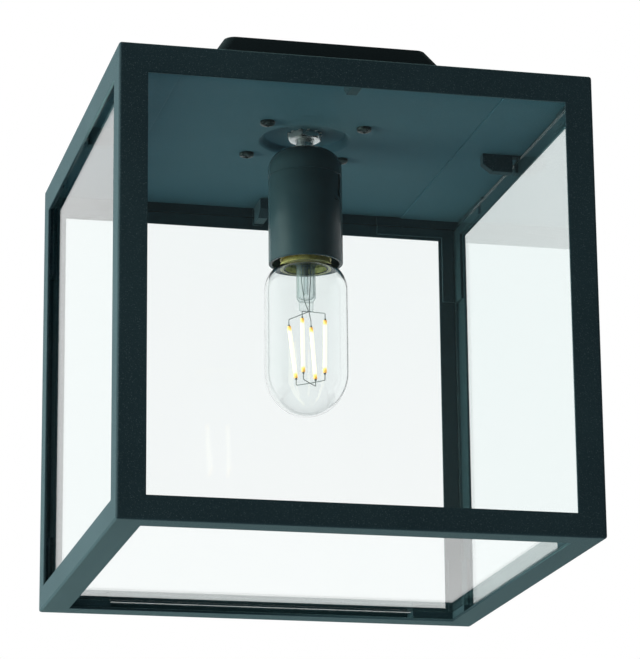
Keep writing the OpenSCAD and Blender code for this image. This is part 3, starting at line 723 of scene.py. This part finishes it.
def makeWeldedBox():
    metal = weldedBox["metal"] * mm
    left, right = boxLow.x + angleWidth, boxHigh.x - angleWidth
    sideWindow = ((left, boxLow.z + bottomLeg), (right, boxHigh.z - topLeg))
    points, faces = [], []
    for axis, window in enumerate((sideWindow, sideWindow, ((left, left), (right, right)))):
        for side in (-1, 1):
            ringPoints, ringFaces = skin(windowSide(axis, side, metal, *window), False)
            faces += [[len(points) + k for k in face] for face in ringFaces]
            points += ringPoints
    piece = newPiece("weldedBox", points, faces, blackCoat, 180)

    def spotKind(place):
        for kind, inset in (("outerRound", 0), ("weldRound", metal)):
            if all(min(abs(place[k] - boxLow[k] - inset), abs(boxHigh[k] - inset - place[k])) < 1e-6 for k in range(3)):
                return kind
        return "legRound"

    # the bevel is as wide as the outer edges' round, and the other edges take a share of it
    weights = piece.data.attributes.new("bevel_weight_edge", "FLOAT", "EDGE")
    for edge in piece.data.edges:
        a, b = (piece.data.vertices[k].co for k in edge.vertices)
        kind = spotKind(a)
        oneAxis = sum(abs(a[k] - b[k]) > 1e-6 for k in range(3)) == 1
        rounded = (a - b).length > 2 * metal if kind == "legRound" else oneAxis
        if kind == spotKind(b) and rounded:
            weights.data[edge.index].value = weldedBox[kind] / weldedBox["outerRound"]
    roundEdges(piece, weldedBox["outerRound"] * mm, weldedBox["steps"], method="WEIGHT")
    bars = [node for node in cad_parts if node.startswith(("post_", "top_rail_", "bottom_rail_"))]
    dress(piece, "lantern", "black_powder_coat", *bars)


makeWeldedBox()
print("welded box made")


canopyShape = {"ceilingWidth": 111, "wall": 1.2, "topRadius": 6, "footRadius": 8, "leastRadius": 2.5, "footBend": 1.6,
               "flange": 13, "edge": 0.4, "flangeEdge": 0.3, "cornerSteps": 14}


def makeCanopy():
    low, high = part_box("canopy")
    s = inMetres(canopyShape)
    foot, top, wall, edge = high.x, s.ceilingWidth / 2, s.wall, s.edge
    slope = (foot - top) / (high.z - low.z)
    lean = wall * math.sqrt(1 + slope * slope)
    flangeEnd = foot - s.flange
    section = filleted([
        (top, high.z, edge), (foot, low.z, s.footBend), (flangeEnd, low.z, s.flangeEdge),
        (flangeEnd, low.z + wall, s.flangeEdge), (foot - lean - slope * wall, low.z + wall, edge),
        (top - lean, high.z, edge)], closed=True)
    loops = []
    for half, z in section:
        share = (high.z - z) / (high.z - low.z)
        radius = s.topRadius + (s.footRadius - s.topRadius) * share
        inset = max(0.0, top + slope * (high.z - z) - half)
        loops.append(squareRing(half, max(radius - inset, s.leastRadius), z, canopyShape["cornerSteps"]))
    dress(newPiece("ceilingCanopy", *skin(loops), canopyPaintedShadeCoat, 50), "lantern", "black_powder_coat", "canopy")


makeCanopy()
print("canopy made")


panShape = {"metal": 0.9, "holeRadius": 5.3, "roofRadius": 22.5, "mouthRadius": 24.5, "lean": 0.6, "pressRound": 1.3,
            "flatFrom": 34, "steps": 96}
stripEdge = 0.3
screwShape = {"headRadius": 4.0, "headHeight": 2.6, "shankRadius": 1.95, "shank": 12, "tipChamfer": 0.6,
              "recessSpan": 2.35, "recessWidth": 0.55, "recessDepth": 1.6, "turn": 20, "step": 53.8}


def makePan():
    low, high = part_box("ceiling_pan")
    s, steps = inMetres(panShape), panShape["steps"]
    hole, roofRadius, mouth, far = s.holeRadius, s.roofRadius, s.mouthRadius, s.flatFrom
    metal, press, flat = s.metal, s.pressRound, low.z
    under = filleted([(hole, high.z - metal, 0), (roofRadius, high.z - metal, press), (mouth, flat, press + metal),
                      (far, flat, 0)])
    over = filleted([(far, flat + metal, 0), (mouth + s.lean, flat + metal, press),
                     (roofRadius + s.lean, high.z, press + metal), (hole, high.z, 0)])

    def squareEdge(t):
        return high.x / max(abs(math.cos(t)), abs(math.sin(t)))

    loops = rings(under, steps) + [loopAt(z, steps, squareEdge) for z in (flat, flat + metal)] + rings(over, steps)
    dress(newPiece("pressedPan", *skin(loops), panPaintedLightCoat, 40), "lantern", "black_powder_coat", "ceiling_pan")


def makePanScrews():
    # pan heads with a tapered cross recess, head down and shank up
    s = inMetres(screwShape)
    radius, height, shank, chamfer = s.headRadius, s.headHeight, s.shankRadius, s.tipChamfer
    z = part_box("pan_screws")[0].z + height
    tip, end = z - height, z + s.shank
    profile = [(0, tip)] + ellipseArc(0, tip + 0.5 * height, radius * 0.98, height * 0.5, -84, -8, 9)
    profile += [(radius, z - 0.42 * height), (radius, z - 0.06 * height), (radius * 0.96, z), (shank, z),
                (shank, end - chamfer), (shank - chamfer, end), (0, end)]
    screw = lathe("screwPart", profile, darkSteel, 48, closed=False)
    loops = []
    for scale, level in ((1.1, tip - 0.3 * mm), (1.0, tip + 0.1 * mm), (0.55, tip + s.recessDepth)):
        a, w = s.recessSpan * scale, s.recessWidth * (0.5 + 0.5 * scale)
        cross = [(a, w), (w, w), (w, a), (-w, a), (-w, w), (-a, w),
                 (-a, -w), (-w, -w), (-w, -a), (w, -a), (w, -w), (a, -w)]
        loops.append([(x, y, level) for x, y in cross])
    points, faces = skin(loops, False)
    faces += [list(range(12)), list(range(24, 36))]
    cut(screw, newPiece("screwRecess", points, faces, darkSteel))
    smooth(screw, 38)
    screws = around("panScrews", screw, darkSteel, radius=s.step / math.sqrt(2), firstAngle=45,
                    partTurn=screwShape["turn"])
    dress(screws, "lantern", "black_screw", "pan_screws")


makePan()
for side in ("left", "right"):
    makeSheet(side + "PanStrip", "pan_strip_" + side, "lantern", "black_powder_coat", panPaintedLightCoat, stripEdge, 3)
makePanScrews()
print("pan, strips and screws made")


cornerShape = {"topArm": 53, "topDrop": 10.6, "bottomArm": 38, "bottomWidth": 12.9, "flange": 11.9, "wall": 1.6,
               "edge": 0.25}
retainerShape = {"thickness": 5.6, "armFrom": 22.4, "stepDepth": 6, "chinFrom": 16.8, "depth": 10.2, "round": 1.1,
                 "chinRound": 0.5, "slotRoom": 0.3, "web": 0.8, "edge": 0.35}


def cornerOutline(corner, length, width):
    # two equal arms that meet in the front left corner
    a, b, c = corner, corner + width, corner + length
    return [(a, a), (c, a), (c, b), (b, b), (b, c), (a, c)]


def makeCornerBlocks(name, node, armLength, armWidth, armLow, armHigh):
    low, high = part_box(node)
    s = inMetres(cornerShape)
    arms = prism(name + "Part", cornerOutline(low.x, armLength - s.wall, armWidth), armLow, armHigh, blackCoat)
    legs = prism(name + "Leg", cornerOutline(low.x, s.flange, s.wall), low.z, high.z, blackCoat)
    cut(arms, legs, "UNION")
    roundEdges(arms, s.edge, 2)
    dress(around(name, arms, blackCoat), "lantern", "black_powder_coat", node)


def makeRetainers():
    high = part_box("pane_retainers")[1]
    paneLow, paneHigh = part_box("pane_front")
    x, top, s = high.x, high.z, inMetres(retainerShape)
    slotOut, slotIn = s.slotRoom - paneLow.y, -paneHigh.y - s.slotRoom
    web, deep, armEnd = top - s.web, top - s.depth, x - s.armFrom
    outline = filleted([
        (armEnd, top, 0), (armEnd, top - s.stepDepth, 0), (x - s.chinFrom, deep, s.chinRound),
        (slotIn, deep, 0), (slotIn, web, 0), (slotOut, web, 0), (slotOut, deep, 0), (x, deep, s.round),
        (x, top, 0)], closed=True)
    half = s.thickness / 2
    part = roundEdges(prism("retainerPart", outline, -half, half, blackCoat, level=False), s.edge, 2, 50)
    dress(around("paneRetainers", part, blackCoat), "lantern", "black_powder_coat", "pane_retainers")


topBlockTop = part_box("top_corner_blocks")[1].z
makeCornerBlocks("topCornerBlocks", "top_corner_blocks", cornerShape["topArm"] * mm, cornerShape["wall"] * mm,
                 topBlockTop - cornerShape["topDrop"] * mm, topBlockTop)
makeCornerBlocks("bottomCornerBlocks", "bottom_corner_blocks", cornerShape["bottomArm"] * mm,
                 cornerShape["bottomWidth"] * mm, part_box("bottom_corner_blocks")[0].z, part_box("pane_bottom")[0].z)
makeRetainers()
print("corner blocks and retainers made")


paneArris = 0.35
for side in ("front", "back", "left", "right"):
    makeSheet(side + "Pane", "pane_" + side, "pane_" + side, "clear_glass", floatGlass, paneArris, 2)
makeSheet("bottomPane", "pane_bottom", "lantern", "clear_glass", bottomGlassPaintedLight, paneArris, 2)
print("panes made")


nutShape = {"flats": 17, "bore": 5.03, "chamfer": 0.97, "chamferAngle": 60, "rows": (0.0, 0.12, 0.3, 0.55, 0.9),
            "lip": 0.45, "turn": 8, "steps": 96}
washerShape = {"outer": 8.1, "inner": 5.4, "thin": 0.12, "toothRoot": 0.4, "toothReach": 9.7, "toothWidth": 1.5,
               "toothHalf": 0.24, "toothEdge": 0.08}
washerTeeth = {"count": 12, "twist": 14}
nippleShape = {"core": 4.65, "bore": 3.5, "innerRound": 0.2, "outerRound": 0.3, "pitch": 1.0, "ridge": 0.34}


def hexNut(name, node):
    low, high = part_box(node)
    steps, flats, bore, lip = nutShape["steps"], nutShape["flats"] / 2 * mm, nutShape["bore"] * mm, nutShape["lip"] * mm
    steepness = math.tan(math.radians(nutShape["chamferAngle"]))
    rows = [depth * mm for depth in nutShape["rows"]]

    def side(t):
        # distance to the hexagon's side in this direction
        return flats / math.cos((t - math.radians(nutShape["turn"])) % (math.pi / 3) - math.pi / 6)

    loops = []
    for z in [low.z + depth for depth in rows] + [high.z - depth for depth in reversed(rows)]:
        limit = flats * nutShape["chamfer"] + min(z - low.z, high.z - z) * steepness
        loops.append(loopAt(z, steps, lambda t: min(side(t), limit)))
    loops += rings([(bore + lip, high.z), (bore, high.z - lip), (bore, low.z + lip), (bore + lip, low.z)], steps)
    dress(newPiece(name, *skin(loops), zinc, 28), "lantern", "zinc_steel", node)


def makeToothedWasher():
    low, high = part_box("toothed_washer")
    s = inMetres(washerShape)
    foot, head, middle = low.z + s.thin, high.z - s.thin, (low.z + high.z) / 2
    collar = lathe("washerRing", [(s.inner, foot), (s.outer, foot), (s.outer, head), (s.inner, head)], zinc)
    width, thick = s.toothWidth / 2, s.toothHalf
    tooth = block("washerTooth", (s.outer - s.toothRoot, -width, middle - thick),
                  (s.toothReach, width, middle + thick), zinc)
    twist = Matrix.Rotation(math.radians(washerTeeth["twist"]), 4, "X")
    tooth.data.transform(Matrix.Translation((0, 0, middle)) @ twist @ Matrix.Translation((0, 0, -middle)))
    roundEdges(tooth, s.toothEdge, 1)
    teeth = around("toothedWasher", tooth, zinc, washerTeeth["count"])
    dress(joinPieces(teeth, collar), "lantern", "zinc_steel", "toothed_washer")


def makeNipple():
    low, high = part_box("threaded_nipple")
    s = inMetres(nippleShape)
    core, bore, pitch = s.core, s.bore, s.pitch
    tube = lathe("threadedNipple", filleted([
        (bore, low.z, s.innerRound), (core, low.z, s.outerRound), (core, high.z, s.outerRound),
        (bore, high.z, s.innerRound)], closed=True, steps=2), zinc, 64)
    thread = runTree("nippleRidge", threadTree, {
        "Radius": core, "Pitch": pitch, "Turns": (high.z - low.z) / pitch - 1.2, "Ridge": s.ridge, "Steps": 48,
        "Foot": low.z + 0.6 * pitch, "Finish": zinc})
    smooth(thread, 35)
    dress(joinPieces(tube, thread), "lantern", "zinc_steel", "threaded_nipple")


hexNut("lockNut", "lock_nut")
hexNut("topNut", "nipple_top_nut")
makeToothedWasher()
makeNipple()
print("nipple, nuts and washer made")


holderShape = {"domeFlat": 5, "domeHeight": 12.1, "capHeight": 16.1, "wall": 1.8, "skirtWall": 1.5, "hub": 8.5,
               "hubDepth": 9.6, "nippleHole": 5.05, "spigotRoom": 0.15, "seam": 0.25, "rimUp": 1.6, "rimRound": 0.6,
               "lip": 0.4, "lipRound": 0.3, "lipHeight": 2, "lipEnd": 3, "shelf": 2.6, "shelfFrom": 2.5, "shelfTo": 2,
               "shelfGap": 0.1}
domeFullness = 2.3
latchShape = {"width": 6.2, "height": 16, "gap": 0.45, "sunk": 0.7, "nib": 3.2, "foot": 0.4, "root": 0.5,
              "nibSunk": 0.05, "nibRound": 0.3, "footSunk": 0.35, "slotUp": 0.1, "slotRoom": 1}
latchAngle = -42


def latchTongue(radius, seamZ, spigot):
    # tongue of the cap that snaps into the skirt's slot, with a raised nib at its lower end
    s = inMetres(latchShape)
    foot, nib, root, outer = seamZ - (s.height - s.foot), s.nib, spigot - s.root, radius - s.nibSunk
    turn = (s.width / 2 - s.gap) / radius
    turns = [math.radians(latchAngle) + turn * k / 4 for k in range(-4, 5)]
    section = [(root, seamZ), (radius - s.sunk, seamZ), (radius - s.sunk, foot + nib), (outer, foot + nib * 0.7),
               (outer, foot + s.nibRound), (radius - s.footSunk, foot), (root, foot)]
    points = [(r * math.cos(t), r * math.sin(t), z) for r, z in section for t in turns]
    n, wide = len(section), len(turns)
    faces = [[i * wide + k, i * wide + k + 1, (i + 1) % n * wide + k + 1, (i + 1) % n * wide + k]
             for i in range(n) for k in range(wide - 1)]
    faces += [[i * wide for i in range(n)], [i * wide + wide - 1 for i in range(n)]]
    return newPiece("latchTongue", points, faces, blackMoulding)


def makeHolderCap():
    low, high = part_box("holder_cap")
    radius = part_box("holder_skirt")[1].x
    s = inMetres(holderShape)
    flat, wall, seam, hub = s.domeFlat, s.wall, s.seam, s.hub
    domeZ, seamZ, hubZ = high.z - s.domeHeight, high.z - s.capHeight, high.z - s.hubDepth
    spigot = radius - s.skirtWall - s.spigotRoom
    profile = [(s.nippleHole, high.z)]
    profile += ellipseArc(flat, domeZ, radius - flat, s.domeHeight, 90, 0, 28, domeFullness)
    profile += [(radius, seamZ + seam), (radius - seam, seamZ), (spigot, seamZ), (spigot, low.z),
                (spigot - wall, low.z)]
    hubShare = (hub - flat + wall) / (spigot - flat)
    hubTurn = math.degrees(math.acos(hubShare ** (domeFullness / 2)))
    profile += ellipseArc(flat - wall, domeZ, spigot - flat, s.domeHeight - wall, 0, hubTurn, 14, domeFullness)
    profile += [(hub, hubZ), (s.nippleHole, hubZ)]
    cap = lathe("holderCap", profile, blackMoulding, 128)
    dress(joinPieces(cap, latchTongue(radius, seamZ, spigot)), "lantern", "holder_plastic", "holder_cap")


def makeHolderSkirt():
    low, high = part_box("holder_skirt")
    s, latch, radius = inMetres(holderShape), inMetres(latchShape), high.x
    inner, foot, shelf = radius - s.skirtWall, low.z + s.rimUp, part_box("holder_insert")[0].z
    lip, ledge = inner - s.lip, inner - s.shelf
    skirt = lathe("holderSkirt", filleted([
        (radius, foot, s.rimRound), (lip, foot, s.lipRound), (lip, foot + s.lipHeight, 0),
        (inner, foot + s.lipEnd, 0), (inner, shelf - s.shelfFrom, 0), (ledge, shelf - s.shelfTo, 0),
        (ledge, shelf - s.shelfGap, 0), (inner, shelf - s.shelfGap, 0), (inner, high.z, 0),
        (radius, high.z, s.seam)], closed=True), blackMoulding, 128)
    halfWidth, room = latch.width / 2, latch.slotRoom
    slot = block("latchSlot", (inner - room, -halfWidth, high.z - (latch.height - latch.slotUp)),
                 (radius + room, halfWidth, high.z + room), blackMoulding)
    slot.data.transform(Matrix.Rotation(math.radians(latchAngle), 4, "Z"))
    cut(skirt, slot)
    smooth(skirt, 35)
    dress(skirt, "lantern", "holder_plastic", "holder_skirt")


makeHolderCap()
makeHolderSkirt()
print("lampholder made")


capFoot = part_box("bulb_cap")[0].z
bulbShape = {"neck": 11.4, "mouth": 12.4, "mouthUp": 3.2, "neckBend": 1.6, "shoulder": 14.2, "end": 25, "wall": 0.8}
capShape = {"shell": 12.1, "rim": 13.0, "flare": 14.7, "rimHeight": 2.8, "crest": 1.0, "pitch": 3.629, "wall": 0.35,
            "height": 21.5, "throat": 8.7, "threadFrom": 3.6, "threadTo": 19.0, "threadFade": 1.5}
stemShape = {"radius": 5.2, "wall": 0.7, "flareUp": 6, "flareHeight": 4.5, "flareRound": 4, "endDown": 17.5,
             "pressLength": 3.2, "pinchHalf": 3.9, "pinchThick": 1.5, "pinchDown": 25.2, "exhaust": 1.3}
bulbSteps = {"glass": 128, "cap": 96, "threadRows": 60, "stem": 64, "press": 8}


def makeBulbGlass():
    low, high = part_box("bulb_glass")
    s, radius = inMetres(bulbShape), high.x
    wall, mouth, end, shoulder = s.wall, s.mouth, s.end, s.shoulder
    shoulderZ, endZ, mouthZ = capFoot - shoulder - 0.05 * mm, low.z + end, capFoot + s.mouthUp
    neck = [(s.neck, high.z), (s.neck, mouthZ), (mouth, mouthZ - s.neckBend)]
    profile = neck + ellipseArc(mouth, shoulderZ, radius - mouth, shoulder, 90, 0, 24)
    profile += ellipseArc(0, endZ, radius, end, 0, -90, 36)[:-1] + [(0, low.z), (0, low.z + wall)]
    profile += ellipseArc(0, endZ, radius - wall, end - wall, -90, 0, 36)[1:]
    profile += ellipseArc(mouth - wall, shoulderZ, radius - mouth, shoulder - wall, 0, 90, 24)
    profile += [(r - wall, z) for r, z in reversed(neck)]
    glass = lathe("bulbGlass", profile, blownGlass, bulbSteps["glass"], sharpAngle=60)
    dress(glass, "bulb", "bulb_clear_glass", "bulb_glass")


def makeBulbCap():
    # formed brass shell with a round right-hand thread
    s, steps, rows = inMetres(capShape), bulbSteps["cap"], bulbSteps["threadRows"]
    top, start, stop = capFoot + s.height, capFoot + s.threadFrom, capFoot + s.threadTo
    shell, wall, throat = s.shell, s.wall, s.throat
    levels = [start + (s.threadTo - s.threadFrom) * k / rows for k in range(rows + 1)]

    def threadLoop(z, offset):
        fade = min(1.0, max(0.0, (z - start) / s.threadFade), max(0.0, (stop - z) / s.threadFade))
        phase = 2 * math.pi * (z - capFoot) / s.pitch
        return loopAt(z, steps, lambda t: shell + s.crest * fade * (0.5 + 0.5 * math.cos(phase - t)) - offset)

    rim = filleted([(s.flare - wall, capFoot, 0), (s.flare, capFoot, 0.15 * mm),
                    (s.rim, capFoot + s.rimHeight, 0.3 * mm), (shell, start, 0)])
    crown = filleted([(shell, top - 1.8 * mm, 0), (shell - 0.4 * mm, top - 0.6 * mm, 0.8 * mm),
                      (shell - 2 * mm, top, 0.8 * mm), (throat, top, 0)])
    inside = [(throat, top - wall), (shell - 2.2 * mm, top - wall), (shell - wall - 0.5 * mm, top - 1.0 * mm),
              (shell - wall, top - 1.9 * mm)]
    foot = [(shell - wall, start - 0.2 * mm), (s.rim - wall, capFoot + s.rimHeight - 0.2 * mm)]
    loops = rings(rim, steps) + [threadLoop(z, 0) for z in levels] + rings(crown + inside, steps)
    loops += [threadLoop(z, wall) for z in reversed(levels)] + rings(foot, steps)
    dress(newPiece("bulbCap", *skin(loops), brass, 60), "bulb", "brass", "bulb_cap")


def makeStem():
    # glass stem: flared to the neck, straight, then pressed flat round the wires, with its exhaust tube inside
    s, steps, presses = inMetres(stemShape), bulbSteps["stem"], bulbSteps["press"]
    neck = (bulbShape["neck"] - bulbShape["wall"]) * mm
    radius, wall, tube, pinchHalf, pinchThick = s.radius, s.wall, s.exhaust, s.pinchHalf, s.pinchThick
    flare, end, pinch = capFoot + s.flareUp, capFoot - s.endDown, capFoot - s.pinchDown
    outer = filleted([(neck - 0.1 * mm, flare, 0), (radius, flare - s.flareHeight, s.flareRound),
                      (radius, end, 0)], steps=8)

    def pressed(halfX, halfY, z):
        # a flattened round, squarer as it gets thinner
        fullness = 2 + 2.5 * (1 - halfY / halfX)
        return [(halfX * squarer(math.cos(t), fullness), halfY * squarer(math.sin(t), fullness), z)
                for t in around360(steps)]

    loops = rings(outer, steps)
    for k in range(1, presses + 1):
        share = k / presses
        ease = share * share * (3 - 2 * share)
        loops.append(pressed(radius + (pinchHalf - radius) * ease, radius + (pinchThick - radius) * ease,
                             end - s.pressLength * share))
    loops += [pressed(pinchHalf, pinchThick, pinch + 0.9 * mm),
              pressed(pinchHalf * 0.97, pinchThick * 0.85, pinch + 0.3 * mm),
              pressed(pinchHalf * 0.85, pinchThick * 0.6, pinch), [(0, 0, pinch)]]
    inner = [(0, end - 1.4 * mm)] + ellipseArc(0, end + 0.6 * mm, radius - wall, 2 * mm, -80, 0, 6)
    inner += [(r - wall, z + 0.3 * mm) for r, z in reversed(outer[1:-1])] + [(neck - 0.9 * mm, flare)]
    stem = newPiece("bulbStem", *skin(loops + rings(inner, steps)), stemGlass, 60)
    pipeFoot = end + 1.5 * mm
    pipe = lathe("exhaustPipe", [(tube, pipeFoot), (tube, flare), (tube * 0.84, flare), (tube * 0.84, pipeFoot)],
                 stemGlass, 24)
    dress(joinPieces(stem, pipe), "bulb", "bulb_clear_glass", "bulb_stem")


tipShape = {"coneFoot": 8.55, "coneStep": 1.3, "coneHead": 5.2, "stepRound": 0.3, "headRound": 0.6, "tipFoot": 4.8,
            "tipSide": 4.75, "tipEdge": 0.5, "domeFrom": 0.6, "dome": 4.6}


def makeInsulatorAndTip():
    s = inMetres(tipShape)
    low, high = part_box("cap_insulator")
    cone = lathe("capInsulator", filleted([
        (0, low.z, 0), (s.coneFoot, low.z, 0), (s.coneFoot, low.z + s.coneStep, s.stepRound),
        (s.coneHead, high.z, s.headRound), (0, high.z, 0)]), softFinish["blackLampGlass"], 64, closed=False)
    dress(cone, "bulb_tip", "black_glass", "cap_insulator")
    low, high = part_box("tip_contact")
    dome = ellipseArc(0, low.z + s.domeFrom, s.dome, high.z - low.z - s.domeFrom, 12, 90, 8)[:-1]
    tip = lathe("tipContact", [(0, low.z), (s.tipFoot, low.z), (s.tipSide, low.z + s.tipEdge), *dome,
                               (0, high.z)], brass, 48, closed=False)
    dress(tip, "bulb_tip", "brass", "tip_contact")


filamentPlan = {"tops": [(-8, 7.5), (-4.5, -9.5), (4.5, 8), (8.5, -8)],
                "ends": [(-4.4, 6.4), (-3.5, -6.9), (6.4, 6.4), (8.3, -7.1)], "topDown": 31.2, "endDown": 62,
                "radius": 1.0, "tab": 0.9, "tabRadius": 0.62, "wire": 0.24, "bend": 0.8, "spider": (1.6, 0.4, -25.2),
                "spiderRise": 3, "star": (1.7, -0.3, -65.4), "starDrop": 3.2}


def underCap(x, y, down):
    return Vector((x * mm, y * mm, capFoot + down * mm))


def makeFilaments():
    plan = filamentPlan
    rods, tabs = [], []
    for (x0, y0), (x1, y1) in zip(plan["tops"], plan["ends"]):
        top, end = underCap(x0, y0, -plan["topDown"]), underCap(x1, y1, -plan["endDown"])
        step = (end - top).normalized() * plan["tab"] * mm
        rods.append([top + step, end - step])
        tabs += [[top, top + 2 * step], [end, end - 2 * step]]
    rod = wires("filaments", rods, plan["radius"] * mm, 0.0, litPhosphor, 20)
    tab = wires("filamentTabs", tabs, plan["radius"] * plan["tabRadius"] * mm, 0.0, nickel)
    dress(joinPieces(rod, tab), "bulb", "filament_phosphor", "bulb_filaments")


def makeLeadWires():
    plan = filamentPlan
    hub, star = underCap(*plan["spider"]), underCap(*plan["star"])
    routes = [[underCap(s * 2.5, 0, 9), underCap(s * 2.5, 0, -8), underCap(s * 1.4 + 0.4, 0.2, -19),
               hub + Vector((s * 0.2 * mm, 0, 0))] for s in (-1, 1)]
    for x, y in plan["tops"]:
        routes.append([hub, underCap(x, y, plan["spiderRise"] - plan["topDown"]), underCap(x, y, -plan["topDown"])])
    leads = wires("leadWires", routes, plan["wire"] * mm, plan["bend"] * mm, nickel)
    dress(leads, "bulb", "nickel_wire", "bulb_lead_wires")
    routes = [[star, underCap(x, y, -plan["endDown"] - plan["starDrop"]), underCap(x, y, -plan["endDown"])]
              for x, y in plan["ends"]]
    stars = wires("starWires", routes, plan["wire"] * mm, plan["bend"] * mm, nickel)
    dress(stars, "bulb", "nickel_wire", "bulb_star_wires")


makeBulbGlass()
makeBulbCap()
makeStem()
makeInsulatorAndTip()
makeFilaments()
makeLeadWires()
print("bulb made")


# these pieces keep the frame's shape
frameFinishes = (
    (zinc, "ceiling_bracket", "bracket_pillars", "terminal_screws", "block_screws", "earth_screw"),
    (brass, "holder_sleeve", "centre_contact", "contact_rivets", "holder_terminals", "block_ways"),
    (darkSteel, "grub_screw"), (softFinish["whiteCeramic"], "holder_insert"),
    (softFinish["milkyBlockPlastic"], "terminal_block"), (softFinish["brownSleeve"], "live_wire"),
    (softFinish["blueSleeve"], "neutral_wire"), (earthSleeve, "earth_wire"), (softFinish["greenBoard"], "bulb_driver"))
for material, *nodes in frameFinishes:
    for slot in (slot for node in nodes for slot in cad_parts[node].material_slots):
        slot.material = material
print("frame finishes set")
